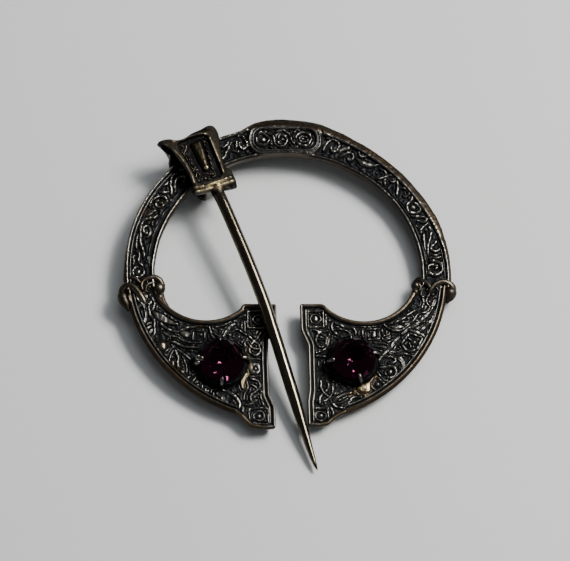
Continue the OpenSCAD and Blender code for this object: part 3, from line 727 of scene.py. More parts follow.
def hoop_height(X, Y):
    """Height of the hoop's front."""
    th = np.arctan2(Y, X)
    th = np.where(th < -1.6, th + 2 * math.pi, th)
    r = np.hypot(X, Y)
    ri, ro = hoop_edges(th)
    rc = crest(th)
    cart = box_distance(X, Y, CART_BOX)
    near_cart = (abs(X - 0.4) < 7.6) & (Y > 15)
    floor0 = 1.53
    deg = np.degrees(th)
    # the thin second ridges fade out along the upper right and round the top
    fade = np.interp(deg, [8, 24, 60, 100, 125, 150], [.8, 0, 0, .2, .8, 1])
    e1 = np.interp(deg, [0, 15, 40, 60, 110, 150, 180], [.44, .42, .36, .28, .34, .40, .42])
    e2 = np.interp(deg, [0, 12, 30, 45, 110, 150, 180], [.92, .90, .86, .84, 1.1, 1.16, 1.2])
    a2 = np.interp(deg, [0, 12, 34, 46, 112, 140], [1, 1, .8, 0, 0, 1]) * np.clip(0.75 + 0.7 * noise2(deg * .39, 0 * deg, 1.3, 26), 0, 1)
    H = np.full(len(X), floor0) + 0.03 * noise2(X, Y, 0.3, 17)
    E = np.minimum(np.where(near_cart & (cart < 0.75), -1, np.minimum(rc - 0.24 - 0.36 * fade - r, r - ri - e1 - 0.22 - a2 * (e2 - e1))), 9.0)
    U, W = warp(X, Y, 0.10, 0.8, 67)
    rows = [(k, w * 1.38 if k in "sa" else w * 1.15, h * 1.22, q) for k, w, h, q in polar_rows(HOOP_L) + polar_rows(HOOP_R)]
    put(H, U, W, rows, floor0, E)
    fill_echoes(H, E, X, Y, floor0, h=0.13, pitch=0.52, seed=23)
    # outer rim: crest, bevel outside it, thin second ridge inside
    d = r - rc
    k = np.clip(d / np.maximum(ro - rc, 0.1), 0, 1)
    rim = floor0 + np.interp(d, [-.26, -.18, -.09, .0, .12], [-.05, .12, .36, .46, .47])
    rim = np.where(d > 0.12, floor0 + 0.47 - 0.42 * k ** 1.6, rim)
    second = floor0 + 0.34 * fade * np.exp(-((d + .44) / .12) ** 2) - 0.05
    m = (d > -.64) & (fade > .15)
    H[m] = np.maximum(second[m], H[m] * (1 - fade[m]) + second[m] * fade[m])
    m = d > -.26
    H[m] = rim[m] + 0.016 * noise2(X[m], Y[m], 0.7, 19) + 0.012 * noise2(X[m], Y[m], 0.25, 20)
    # inner rim: rounded edge, groove, thin second ridge
    e = r - ri
    q = e / e1
    inn = floor0 + np.where(q < 1, np.interp(q, [0, .2, .6, 1], [.04, .22, .36, .42]), np.interp(e - e1, [0, .09, .2, .3], [.42, .28, .0, -.05]))
    bead = 0.04 * np.cos(th * 21.5 * 2 * math.pi / 0.6) * noise2(X, Y, 1.5, 27)
    ridge = floor0 - 0.04 + (0.30 + bead) * a2 * np.exp(-((e - e2) / 0.13) ** 2)
    free = ~(near_cart & (cart < 0.6))
    m = (e < e2 + 0.2) & (a2 > .15) & free
    H[m] = np.maximum(ridge[m], H[m] * (1 - a2[m]) + ridge[m] * a2[m])
    m = (e < e1 + .24) & free
    H[m] = inn[m] + 0.014 * noise2(X[m], Y[m], 0.6, 29) + 0.010 * noise2(X[m], Y[m], 0.22, 30)
    # cartouche: a rounded frame with a second ridge outside its ends
    m = near_cart & (cart < 1.15)
    fr = np.interp(cart[m], [-.36, -.22, -.12, .0, .12, .24, .36, .50, .64, .84, 1.1], [-.46, -.28, -.07, .0, -.07, -.24, -.16, -.06, -.18, -.42, -.66])
    H2 = np.full(len(X), 1.86) + 0.03 * noise2(X, Y, 0.3, 33)
    E2 = np.minimum(-cart - 0.36, 9.0)
    put(H2, U, W, [(k, w * 1.25, h * 1.2, q) for k, w, h, q in CART], 1.86, E2)
    fill_echoes(H2, E2, X, Y, 1.86, h=0.24, pitch=0.42, seed=43)
    top = 2.33 + fr
    val = np.where(cart[m] < -.26, H2[m], top)
    side = np.clip((cart[m] - 0.55) / 0.5, 0, 1)
    val = np.where(cart[m] > 0.3, top * (1 - side) + H[m] * side, val)
    # above the frame: a smooth bevel running out to the edge
    over = np.clip((r[m] - 24.25) / 0.5, 0, 1) * np.clip((6.3 - abs(X[m] - 0.4)) / 1.0, 0, 1) * (cart[m] > 0.02)
    f2 = np.clip((r[m] - 24.6) / np.maximum(ro[m] - 24.6, 0.1), 0, 1)
    slope = 2.26 - 0.62 * f2 ** 1.5
    val = val * (1 - over) + slope * over
    H[m] = val
    m2 = near_cart & (cart >= 1.15) & (r > 24.0)
    k2 = np.clip((7.4 - abs(X[m2] - 0.4)) / 1.6, 0, 1) * np.clip((r[m2] - 24.2) / 0.4, 0, 1)
    f2 = np.clip((r[m2] - 24.6) / np.maximum(ro[m2] - 24.6, 0.1), 0, 1)
    H[m2] = H[m2] * (1 - k2) + k2 * (2.26 - 0.64 * f2 ** 1.5)
    return wear(H, X, Y, 31)


# ---------------------------------------------------------------- meshes
MM = 0.001


def make(name, verts, faces, body, nodes, mat, attrs=None, smooth=True):
    """A piece from vertices in millimetres."""
    me = bpy.data.meshes.new(name)
    v = np.asarray(verts, float) * MM
    me.from_pydata([tuple(p) for p in v.tolist()], [], [tuple(f) for f in faces])
    me.validate()
    for key, val in (attrs or {}).items():
        a = me.attributes.new(key, "FLOAT", "POINT")
        a.data.foreach_set("value", np.asarray(val, np.float32))
    if smooth:
        me.polygons.foreach_set("use_smooth", [True] * len(me.polygons))
    me.materials.append(mat)
    me.update()
    o = bpy.data.objects.new(name, me)
    bpy.context.scene.collection.objects.link(o)
    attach(o, body)
    if nodes:
        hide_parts(*nodes)
    return o


def dedupe(P, eps=0.03):
    keep = [0]
    for i in range(1, len(P)):
        if np.hypot(*(P[i] - P[keep[-1]])) > eps:
            keep.append(i)
    P = P[keep]
    if np.hypot(*(P[0] - P[-1])) < eps:
        P = P[:-1]
    return P


def area2(P):
    x, y = P[:, 0], P[:, 1]
    return (x * np.roll(y, -1) - y * np.roll(x, -1)).sum()


def out_normals(P):
    """Outward normals of a counter-clockwise loop."""
    t = np.roll(P, -1, 0) - np.roll(P, 1, 0)
    t /= np.maximum(np.linalg.norm(t, axis=1, keepdims=True), 1e-9)
    return np.stack([t[:, 1], -t[:, 0]], 1)


def relax(P, n=2, k=0.5):
    for _ in range(n):
        P = P * (1 - k) + (np.roll(P, 1, 0) + np.roll(P, -1, 0)) * k / 2
    return P


def fill_loop(loop, pts):
    """Triangles over the inside of a loop, through the loop's points and the given inner ones."""
    n = len(loop)
    co = [Vector((float(a), float(b))) for a, b in (np.vstack([loop, pts]) if len(pts) else loop)]
    r = delaunay_2d_cdt(co, [], [list(range(n))], 1, 1e-7)
    v = np.array([(p.x, p.y) for p in r[0]])
    f = [tuple(t) for t in r[2]]
    src = [o[0] if o else -1 for o in r[3]]
    return v, f, src


def plate(loop, height, spacing, wall, clip=0.055, hexa=True):
    """A closed slab: its front is a height field over the loop, its side follows the wall's steps, its back is flat.
    wall is a list of (inset, z or a function of x, y and the front's height)."""
    if area2(loop) < 0:
        loop = loop[::-1]
    n = len(loop)
    lo, hi = loop.min(0), loop.max(0)
    xs = np.arange(lo[0], hi[0] + spacing, spacing)
    ys = np.arange(lo[1], hi[1] + spacing, spacing * 0.866)
    X, Y = np.meshgrid(xs, ys)
    X = X + (np.arange(len(ys)) % 2)[:, None] * spacing / 2
    X, Y = X.ravel(), Y.ravel()
    m = inside(X, Y, loop)
    X, Y = X[m], Y[m]
    closed = np.vstack([loop, loop[:1]])
    ok = np.ones(len(X), bool)
    # keep clear of the edge, so no triangle is a sliver
    cell = {}
    for i, (a, b) in enumerate(loop):
        cell.setdefault((int(math.floor(a / 0.25)), int(math.floor(b / 0.25))), []).append(i)
    ci, cj = np.floor(X / 0.25).astype(int), np.floor(Y / 0.25).astype(int)
    keys = {}
    for k, (a, b) in enumerate(zip(ci.tolist(), cj.tolist())):
        keys.setdefault((a, b), []).append(k)
    for (a, b), ks in keys.items():
        near_ids = [i for da in (-1, 0, 1) for db in (-1, 0, 1) for i in cell.get((a + da, b + db), [])]
        if near_ids:
            L = loop[near_ids]
            d = np.hypot(X[ks][:, None] - L[None, :, 0], Y[ks][:, None] - L[None, :, 1]).min(1)
            ok[np.array(ks)[d < clip]] = False
    pts = np.stack([X[ok], Y[ok]], 1)
    v2, tris, src = fill_loop(loop, pts)
    z, extra = height(v2[:, 0], v2[:, 1])
    verts = [np.column_stack([v2, z])]
    order = {s: i for i, s in enumerate(src) if 0 <= s < n}
    top = [order[i] for i in range(n)]
    faces = []
    for t in tris:
        a, b, c = t
        s = (v2[b][0] - v2[a][0]) * (v2[c][1] - v2[a][1]) - (v2[b][1] - v2[a][1]) * (v2[c][0] - v2[a][0])
        faces.append(t if s > 0 else (a, c, b))
    nrm = out_normals(loop)
    base = len(v2)
    ring = top
    ztop = z[top]
    for inset, zz in wall:
        q = loop - nrm * inset
        zc = np.full(n, zz) if not callable(zz) else zz(loop[:, 0], loop[:, 1], ztop)
        verts.append(np.column_stack([q, zc]))
        new = list(range(base, base + n))
        for i in range(n):
            j = (i + 1) % n
            faces.append((ring[j], ring[i], new[i], new[j]))
        ring = new
        base += n
    bv, bt, bsrc = fill_loop(loop, np.zeros((0, 2)))
    bmap = {i: ring[q] for i, q in enumerate(bsrc) if 0 <= q < n}
    for t in bt:
        a, b, c = t
        w = (bv[b][0] - bv[a][0]) * (bv[c][1] - bv[a][1]) - (bv[b][1] - bv[a][1]) * (bv[c][0] - bv[a][0])
        t = t if w < 0 else (a, c, b)
        faces.append(tuple(bmap[i] for i in t))
    V = np.vstack(verts)
    extra = {k: np.concatenate([e, np.full(len(V) - len(v2), e2)]) for k, (e, e2) in extra.items()}
    return V, faces, extra


def tube(path, radii, sides=20, up=(0, 0, 1), flat=1.0, caps=True, wobble=0.0, seed=5):
    """A swept round bar with rounded ends, along points in millimetres."""
    P = np.asarray(path, float)
    R = np.asarray(radii, float)
    T = np.gradient(P, axis=0)
    T /= np.linalg.norm(T, axis=1, keepdims=True)
    verts, faces = [], []
    u = np.asarray(up, float)
    rings = []
    if caps:
        k = [(-math.cos(a), math.sin(a)) for a in np.radians([4, 25, 45, 65])]
        for c, s in k:
            rings.append((P[0] + T[0] * R[0] * c, T[0], R[0] * s))
        for p, t, r in zip(P, T, R):
            rings.append((p, t, r))
        for c, s in k[::-1]:
            rings.append((P[-1] - T[-1] * R[-1] * c, T[-1], R[-1] * s))
    else:
        rings = list(zip(P, T, R))
    x = np.cross(T[0], u)
    x /= np.linalg.norm(x)
    for p, t, r in rings:
        x = x - t * (x @ t)
        x /= np.linalg.norm(x)
        y = np.cross(x, t)
        a = np.arange(sides) * 2 * math.pi / sides
        verts.append(p + r * (np.cos(a)[:, None] * x + flat * np.sin(a)[:, None] * y))
    n = len(rings)
    V = np.vstack(verts)
    if wobble:
        V = V + wobble * np.column_stack([noise2(V[:, 0] + V[:, 2], V[:, 1], .5, seed), noise2(V[:, 1], V[:, 2] + V[:, 0], .5, seed + 1), noise2(V[:, 0], V[:, 1] - V[:, 2], .5, seed + 2)])
    for k in range(n - 1):
        for j in range(sides):
            i = (j + 1) % sides
            faces.append((k * sides + j, k * sides + i, (k + 1) * sides + i, (k + 1) * sides + j))
    faces.append(tuple(range(sides - 1, -1, -1)))
    faces.append(tuple((n - 1) * sides + j for j in range(sides)))
    return V, faces


def outward(V, faces):
    """Turns all faces over if the closed mesh is inside out."""
    V = np.asarray(V)
    vol = 0.0
    for f in faces:
        a = V[f[0]]
        for i in range(1, len(f) - 1):
            vol += a @ np.cross(V[f[i]], V[f[i + 1]])
    return faces if vol > 0 else [tuple(f[::-1]) for f in faces]


def lathe(profile, c, sides=96, closed=True, ripple=None):
    """A ring or cap turned about a vertical line at c; profile is (r, z) points."""
    prof = np.asarray(profile, float)
    a = np.arange(sides) * 2 * math.pi / sides
    V, faces = [], []
    m = len(prof)
    for k in range(sides):
        r = prof[:, 0].copy()
        z = prof[:, 1].copy()
        if ripple is not None:
            r, z = ripple(a[k], r, z)
        V.append(np.column_stack([c[0] + r * math.cos(a[k]), c[1] + r * math.sin(a[k]), z]))
    V = np.vstack(V)
    for k in range(sides):
        j = (k + 1) % sides
        for i in range(m if closed else m - 1):
            i2 = (i + 1) % m
            faces.append((k * m + i, j * m + i, j * m + i2, k * m + i2))
    return V, faces


def ball(c, r, seg=20, squash=1.0):
    V, faces = [], []
    rows = seg // 2
    for i in range(1, rows):
        t = math.pi * i / rows
        for j in range(seg):
            a = 2 * math.pi * j / seg
            V.append((c[0] + r * math.sin(t) * math.cos(a), c[1] + r * math.sin(t) * math.sin(a), c[2] + squash * r * math.cos(t)))
    n = len(V)
    V += [(c[0], c[1], c[2] + squash * r), (c[0], c[1], c[2] - squash * r)]
    for i in range(rows - 2):
        for j in range(seg):
            k = (j + 1) % seg
            faces.append((i * seg + j, (i + 1) * seg + j, (i + 1) * seg + k, i * seg + k))
    for j in range(seg):
        k = (j + 1) % seg
        faces.append((n, j, k))
        faces.append((n + 1, (rows - 2) * seg + k, (rows - 2) * seg + j))
    return np.array(V, float), faces


def join(parts):
    V, F, off = [], [], 0
    for v, f in parts:
        v = np.asarray(v, float)
        f = outward(v, f)
        V.append(v)
        F += [tuple(i + off for i in q) for q in f]
        off += len(v)
    return np.vstack(V), F


def spline3(P, n):
    P = np.asarray(P, float)
    Q = np.vstack([2 * P[0] - P[1], P, 2 * P[-1] - P[-2]])
    out = []
    for k in range(1, len(Q) - 2):
        a, b, c, d = Q[k - 1], Q[k], Q[k + 1], Q[k + 2]
        t = np.linspace(0, 1, n, endpoint=False)[:, None]
        out.append(0.5 * ((2 * b) + (c - a) * t + (2 * a - 5 * b + 4 * c - d) * t * t + (3 * b - a - 3 * c + d) * t ** 3))
    out.append(P[-1:])
    return np.vstack(out)


# ---------------------------------------------------------------- materials
def node_material(name):
    m = bpy.data.materials.new(name)
    m.use_nodes = True
    nt = m.node_tree
    nt.nodes.clear()
    out = nt.nodes.new("ShaderNodeOutputMaterial")
    b = nt.nodes.new("ShaderNodeBsdfPrincipled")
    nt.links.new(b.outputs[0], out.inputs[0])
    return m, nt, b


def ramp(nt, stops, src, interp="LINEAR"):
    r = nt.nodes.new("ShaderNodeValToRGB")
    r.color_ramp.interpolation = interp
    els = r.color_ramp.elements
    els[0].position, els[0].color = stops[0][0], (*stops[0][1], 1)
    els[1].position, els[1].color = stops[-1][0], (*stops[-1][1], 1)
    for p, c in stops[1:-1]:
        e = els.new(p)
        e.color = (*c, 1)
    nt.links.new(src, r.inputs[0])
    return r.outputs[0]


def noise_node(nt, scale, detail=3.0, rough=0.55, coord=None):
    n = nt.nodes.new("ShaderNodeTexNoise")
    n.inputs["Scale"].default_value = scale
    n.inputs["Detail"].default_value = detail
    n.inputs["Roughness"].default_value = rough
    nt.links.new(coord, n.inputs["Vector"])
    return n.outputs[0]


def math_node(nt, op, a, b, clamp=False):
    n = nt.nodes.new("ShaderNodeMath")
    n.operation = op
    n.use_clamp = clamp
    for s, v in ((n.inputs[0], a), (n.inputs[1], b)):
        if isinstance(v, (int, float)):
            s.default_value = v
        else:
            nt.links.new(v, s)
    return n.outputs[0]


def mix_color(nt, fac, a, b, mode="MIX"):
    n = nt.nodes.new("ShaderNodeMix")
    n.data_type = "RGBA"
    n.blend_type = mode
    for s, v in ((n.inputs[0], fac), (n.inputs[6], a), (n.inputs[7], b)):
        if isinstance(v, (int, float)):
            s.default_value = v
        elif isinstance(v, tuple):
            s.default_value = (*v, 1)
        else:
            nt.links.new(v, s)
    return n.outputs[2]


def attribute(nt, key):
    n = nt.nodes.new("ShaderNodeAttribute")
    n.attribute_name = key
    return n.outputs["Fac"]


def aged(name, bright=(0.198, 0.191, 0.172), mid=(0.063, 0.063, 0.060), dark=(0.0046, 0.0052, 0.0060), brown=(0.062, 0.044, 0.025), warm=(0.60, 0.48, 0.28), rough=0.29):
    """Old cast metal: black in the hollows, worn bright on what stands up, with brown patina; the pieces' masks also
    carry painted shade and painted highlights.
    """
    m, nt, b = node_material(name)
    tc = nt.nodes.new("ShaderNodeTexCoord")
    co = tc.outputs["Object"]
    big = noise_node(nt, 260, 3, 0.6, co)
    mid_n = noise_node(nt, 1100, 3, 0.6, co)
    fine = noise_node(nt, 5200, 2, 0.6, co)
    cav, br, wm = attribute(nt, "cav"), attribute(nt, "brown"), attribute(nt, "warm")
    # noise shifts the boundary between the dark end (patina and painted shade) and the bright end (worn metal and
    # painted highlights)
    sh = math_node(nt, "ADD", cav, math_node(nt, "MULTIPLY", math_node(nt, "SUBTRACT", mid_n, 0.5), 0.30))
    sh = math_node(nt, "ADD", sh, math_node(nt, "MULTIPLY", math_node(nt, "SUBTRACT", big, 0.52), 0.55), clamp=True)
    col = ramp(nt, [(0.0, dark), (0.30, tuple(c * 2.9 for c in dark)), (0.55, mid), (0.84, tuple(c * 0.68 for c in bright)), (1.0, bright)], sh)
    bf = math_node(nt, "MULTIPLY", br, math_node(nt, "ADD", math_node(nt, "MULTIPLY", big, 1.2), 0.30), clamp=True)
    lit = ramp(nt, [(0.0, (0.16, 0.16, 0.16)), (0.5, (0.42, 0.42, 0.42)), (1.0, (1, 1, 1))], sh)
    tint = mix_color(nt, 1.0, lit, tuple(c * 1.7 for c in brown), "MULTIPLY")
    col = mix_color(nt, bf, col, tint)
    # the warm golden colour where the pieces mark it; on the pin head and its root this is a painted highlight
    col = mix_color(nt, math_node(nt, "MULTIPLY", wm, sh, clamp=True), col, warm)
    nt.links.new(col, b.inputs["Base Color"])
    met = ramp(nt, [(0.10, (0.80,) * 3), (0.45, (0.99,) * 3), (1.0, (1,) * 3)], sh)
    nt.links.new(met, b.inputs["Metallic"])
    b.inputs["Specular IOR Level"].default_value = 0.12
    r = ramp(nt, [(0.0, (0.55,) * 3), (0.5, (rough + 0.12,) * 3), (1.0, (rough - 0.03,) * 3)], sh)
    r = math_node(nt, "ADD", r, math_node(nt, "MULTIPLY", math_node(nt, "SUBTRACT", fine, 0.5), 0.12), clamp=True)
    r = math_node(nt, "ADD", r, math_node(nt, "MULTIPLY", wm, 0.16), clamp=True)
    nt.links.new(r, b.inputs["Roughness"])
    bump = nt.nodes.new("ShaderNodeBump")
    bump.inputs["Strength"].default_value = 0.15
    bump.inputs["Distance"].default_value = 0.00006
    nt.links.new(math_node(nt, "ADD", fine, math_node(nt, "MULTIPLY", mid_n, 0.8)), bump.inputs["Height"])
    nt.links.new(bump.outputs[0], b.inputs["Normal"])
    return m


def polished(name, color=(0.132, 0.115, 0.086), rough=0.18):
    """The pin's smooth metal, dark and a little tarnished."""
    m, nt, b = node_material(name)
    tc = nt.nodes.new("ShaderNodeTexCoord")
    co = tc.outputs["Object"]
    big = noise_node(nt, 210, 3, 0.55, co)
    mid = noise_node(nt, 1300, 3, 0.6, co)
    mp = nt.nodes.new("ShaderNodeMapping")
    mp.inputs["Rotation"].default_value = (0, 0, math.radians(71))
    mp.inputs["Scale"].default_value = (0.05, 1.0, 1.0)
    nt.links.new(co, mp.inputs["Vector"])
    streak = noise_node(nt, 2600, 2, 0.5, mp.outputs[0])
    f = math_node(nt, "ADD", math_node(nt, "MULTIPLY", big, 0.75), math_node(nt, "MULTIPLY", mid, 0.25))
    col = ramp(nt, [(0.32, tuple(c * k for c, k in zip(color, (0.62, 0.56, 0.48)))), (0.5, tuple(c * k for c, k in zip(color, (0.88, 0.85, 0.80)))), (0.66, color)], f)
    nt.links.new(col, b.inputs["Base Color"])
    b.inputs["Metallic"].default_value = 1.0
    r = math_node(nt, "ADD", math_node(nt, "MULTIPLY", mid, 0.08), rough - 0.04)
    nt.links.new(r, b.inputs["Roughness"])
    bump = nt.nodes.new("ShaderNodeBump")
    bump.inputs["Strength"].default_value = 0.02
    bump.inputs["Distance"].default_value = 0.00002
    nt.links.new(math_node(nt, "ADD", streak, mid), bump.inputs["Height"])
    nt.links.new(bump.outputs[0], b.inputs["Normal"])
    return m


def gem(name):
    """Wine-red glass, dark by its depth, with pink lights from its facets."""
    m, nt, b = node_material(name)
    b.inputs["Base Color"].default_value = (0.048, 0.009, 0.025, 1)
    b.inputs["Roughness"].default_value = 0.02
    b.inputs["IOR"].default_value = 1.76
    b.inputs["Transmission Weight"].default_value = 1.0
    b.inputs["Specular Tint"].default_value = (0.36, 0.10, 0.19, 1)
    return m


# ---------------------------------------------------------------- pieces
CAST = aged("cast_metal")
# its warm colour is used for painted highlights on the bar, the ridges and the root
PIN_HEAD = aged("pin_head_metal", bright=(0.28, 0.24, 0.17), mid=(0.052, 0.046, 0.036), brown=(0.050, 0.037, 0.022), warm=(0.86, 0.70, 0.40), rough=0.22)
# the ear wall's metal, lighter and bluish all over: a painted reflection of the lit floor on a shaded wall
PIN_EAR_PAINTED_SHEEN = aged("pin_ear_painted_sheen_metal", bright=(0.27, 0.27, 0.26), mid=(0.078, 0.080, 0.082), dark=(0.010, 0.011, 0.013), brown=(0.050, 0.040, 0.028), rough=0.32)
SMOOTH = polished("pin_smooth_metal")
GEM = gem("stone_glass")


def build_terminal(side):
    edges = left_edges() if side == "l" else right_edges()
    loop = dedupe(np.vstack([e[1] for e in edges]))
    if area2(loop) < 0:
        loop = loop[::-1]
    # even spacing round the loop
    P = np.vstack([loop, loop[:1]])
    s = np.concatenate([[0], np.cumsum(np.hypot(*np.diff(P, axis=0).T))])
    n = int(s[-1] / 0.10)
    t = np.linspace(0, s[-1], n, endpoint=False)
    loop = np.stack([np.interp(t, s, P[:, 0]), np.interp(t, s, P[:, 1])], 1)
    loop = relax(loop, 3, 0.4)

    def height(x, y):
        H, d = terminal_height(x, y, side)
        rim = np.clip((0.75 - d) / 0.2, 0, 1)
        cav = np.clip((H - 1.46) / 0.40, 0, 1)
        worn = np.clip(0.22 + 0.62 * (H - 1.5) / 0.41 + 0.10 * noise2(x, y, 1.1, 96), 0, 1)
        cav = cav * (1 - rim) + worn * rim
        cav = np.where(d < 0.16, np.minimum(cav, 0.30 + 2.0 * d), cav)
        rs = np.hypot(x - STONES[side][0], y - STONES[side][1])
        # painted shadow of the raised stone and its setting, deepest on its left, and black under the stone
        painted_stone_shadow = np.clip((4.75 - rs) / 0.8, 0, 1) * (0.55 + 0.45 * np.clip((STONES[side][0] - x) / 2.5, 0, 1))
        cav = cav * (1 - 0.85 * painted_stone_shadow)
        cav = np.where(rs < 3.7, 0.0, cav)
        # the rims beside the gap are rubbed to silver, the round ones are brown
        brown = np.clip(0.08 + 0.80 * rim * np.clip((abs(x) - 3.7) / 0.9, 0.22, 1), 0, 1)
        warm = np.zeros(len(x))
        if side == "l":
            for bx, by, br in ((-19.43, -12.40, .85), (-17.9, -16.2, 1.3), (-17.0, -17.4, 1.0), (-13.2, -9.0, .8)):
                brown = np.clip(brown + 0.9 * np.exp(-(np.hypot(x - bx, y - by) / br) ** 4), 0, 1)
            L = spline([-6.3, -12.7, -6.25, -14.2, -6.2, -15.8, -6.6, -17.2, -7.1, -18.4, -7.0, -19.6])
            streak = np.exp(-(near(x, y, L)[0] / 0.36) ** 2) * np.clip(0.7 + 0.7 * noise2(x, y, 0.9, 101), 0, 1)
            warm = 0.95 * streak
            cav = np.maximum(cav, 0.85 * streak)
            # black under the stone again: painted shade
            cav = np.where(rs < 3.7, 0.0, cav)
        else:
            # brown deposit below and right of the stone, on the smooth patch
            q = np.zeros(len(x))
            for bx, by, br in ((11.5, -19.3, 1.25), (12.75, -17.5, 0.85), (10.3, -19.9, 0.7), (9.4, -20.3, 0.45)):
                q = np.maximum(q, np.exp(-(np.hypot(x - bx, y - by) / br) ** 6))
            brown = np.clip(brown + 1.0 * q, 0, 1)
            cav = np.maximum(cav, q * np.clip(0.60 + 0.30 * noise2(x, y, 0.7, 99), 0, 1))
            # two small painted glints in warm colour at the patch
            warm = 0.8 * np.exp(-(np.hypot(x - 11.7, y + 20.6) / 0.3) ** 2) + 0.5 * np.exp(-(np.hypot(x - 12.9, y + 17.0) / 0.3) ** 2)
            warm = np.maximum(warm, 0.36 * q * np.clip(0.7 + 0.7 * noise2(x, y, 0.8, 103), 0, 1))
            # black under the stone again: painted shade
            cav = np.where(rs < 3.7, 0.0, cav)
        return H, {"cav": (cav, 0.45), "brown": (brown, 0.72), "warm": (warm, 0.0)}

    V, F, ex = plate(loop, height, 0.078, [
        (-0.01, lambda x, y, z: z - 0.10), (-0.02, 1.38), (0.04, 1.1), (0.14, 0.8), (0.27, 0.5), (0.40, 0.25), (0.52, 0.09), (0.64, 0.0), (0.70, 0.0), (0.80, 0.0)])
    return make("terminal_left" if side == "l" else "terminal_right", V, F, "brooch", ["frame"], CAST, ex)


def build_hoop():
    a0, a1 = math.radians(-6.5), math.radians(187.5)
    nt_ = 900
    th = np.linspace(a0, a1, nt_)
    ri, ro = hoop_edges(th)
    nu = 66
    u = np.linspace(0, 1, nu)
    R = ri[:, None] + (ro - ri)[:, None] * u[None, :]
    X, Y = R * np.cos(th)[:, None], R * np.sin(th)[:, None]
    Z = hoop_height(X.ravel(), Y.ravel()).reshape(X.shape)
    cav = np.clip((Z - 1.51) / 0.40, 0, 1)
    boxd = box_distance(X.ravel(), Y.ravel(), CART_BOX).reshape(X.shape)
    panel = (boxd < -0.2) & (Y > 15)
    cav = np.where(panel, np.clip((Z - 1.84) / 0.40, 0, 1), cav)
    rr = np.hypot(X, Y)
    rc = crest(th)[:, None]
    deg = np.degrees(th)[:, None]
    bevel = np.clip((rr - rc - 0.10) / 0.2, 0, 1)
    cav = np.where(bevel > 0, cav * (1 - bevel) + bevel * (0.54 - 0.16 * np.exp(-((deg - 48) / 24) ** 4) + 0.12 * noise2(X, Y, 1.2, 94)), cav)
    cav = cav * (1 - 0.45 * np.exp(-((rr - rc) / 0.22) ** 2) * np.exp(-((deg - 48) / 24) ** 4))
    frame_ = (abs(boxd) < 0.5) & (Y > 15)
    cav = np.where(frame_, np.minimum(cav, 0.58), cav)
    inner = np.clip((ri[:, None] + 0.30 - rr) / 0.12, 0, 1)
    cav = cav * (1 - 0.35 * inner) * (1 - 0.16 * np.exp(-((deg - 57) / 15) ** 4))
    brown = np.clip(0.08 + 0.85 * bevel + 0.40 * np.clip((ri[:, None] + 0.40 - rr) / 0.2, 0, 1), 0, 1)
    brown = brown + 0.5 * np.exp(-((deg - 153) / 6) ** 2) * (noise2(X, Y, 0.8, 95) > 0.1)
    brown = np.clip(brown, 0, 1)
    cols = [np.stack([X, Y, Z], -1)]
    cavs, browns = [cav], [brown]

    def add(r, z, c=0.6, b=0.8):
        r = np.broadcast_to(r, th.shape)
        z = np.broadcast_to(z, th.shape)
        cols.append(np.stack([r * np.cos(th), r * np.sin(th), z], -1)[:, None, :])
        cavs.append(np.full((nt_, 1), c))
        browns.append(np.full((nt_, 1), b))

    zo, zi = Z[:, -1], Z[:, 0]
    for f, z in ((0.0, zo - 0.12), (0.0, 1.0 + 0 * zo), (0.0, 0.7 + 0 * zo), (0.05, 0.42 + 0 * zo), (0.14, 0.27 + 0 * zo), (0.3, 0.21 + 0 * zo)):
        add(ro - f, z)
    for w in (0.2, 0.4, 0.6, 0.8):
        r = ro + (ri - ro) * w
        add(r, 0.21 + 0.010 * noise2(r * np.cos(th), r * np.sin(th), 0.9, 41), 0.55)
    for f, z in ((0.3, 0.21 + 0 * zi), (0.14, 0.27 + 0 * zi), (0.05, 0.42 + 0 * zi), (0.0, 0.7 + 0 * zi), (0.0, 1.0 + 0 * zi), (0.0, zi - 0.12)):
        add(ri + f, z)
    G = np.concatenate(cols, 1)
    A = np.concatenate(cavs, 1)
    B = np.concatenate(browns, 1)
    m = G.shape[1]
    V = G.reshape(-1, 3)
    F = []
    for k in range(nt_ - 1):
        b0, b1 = k * m, (k + 1) * m
        for i in range(m):
            j = (i + 1) % m
            F.append((b0 + i, b0 + j, b1 + j, b1 + i))
    F.append(tuple(range(m - 1, -1, -1)))
    F.append(tuple((nt_ - 1) * m + i for i in range(m)))
    F = outward(V, F)
    return make("hoop", V, F, "brooch", ["frame"], CAST, {"cav": A.ravel(), "brown": B.ravel()})


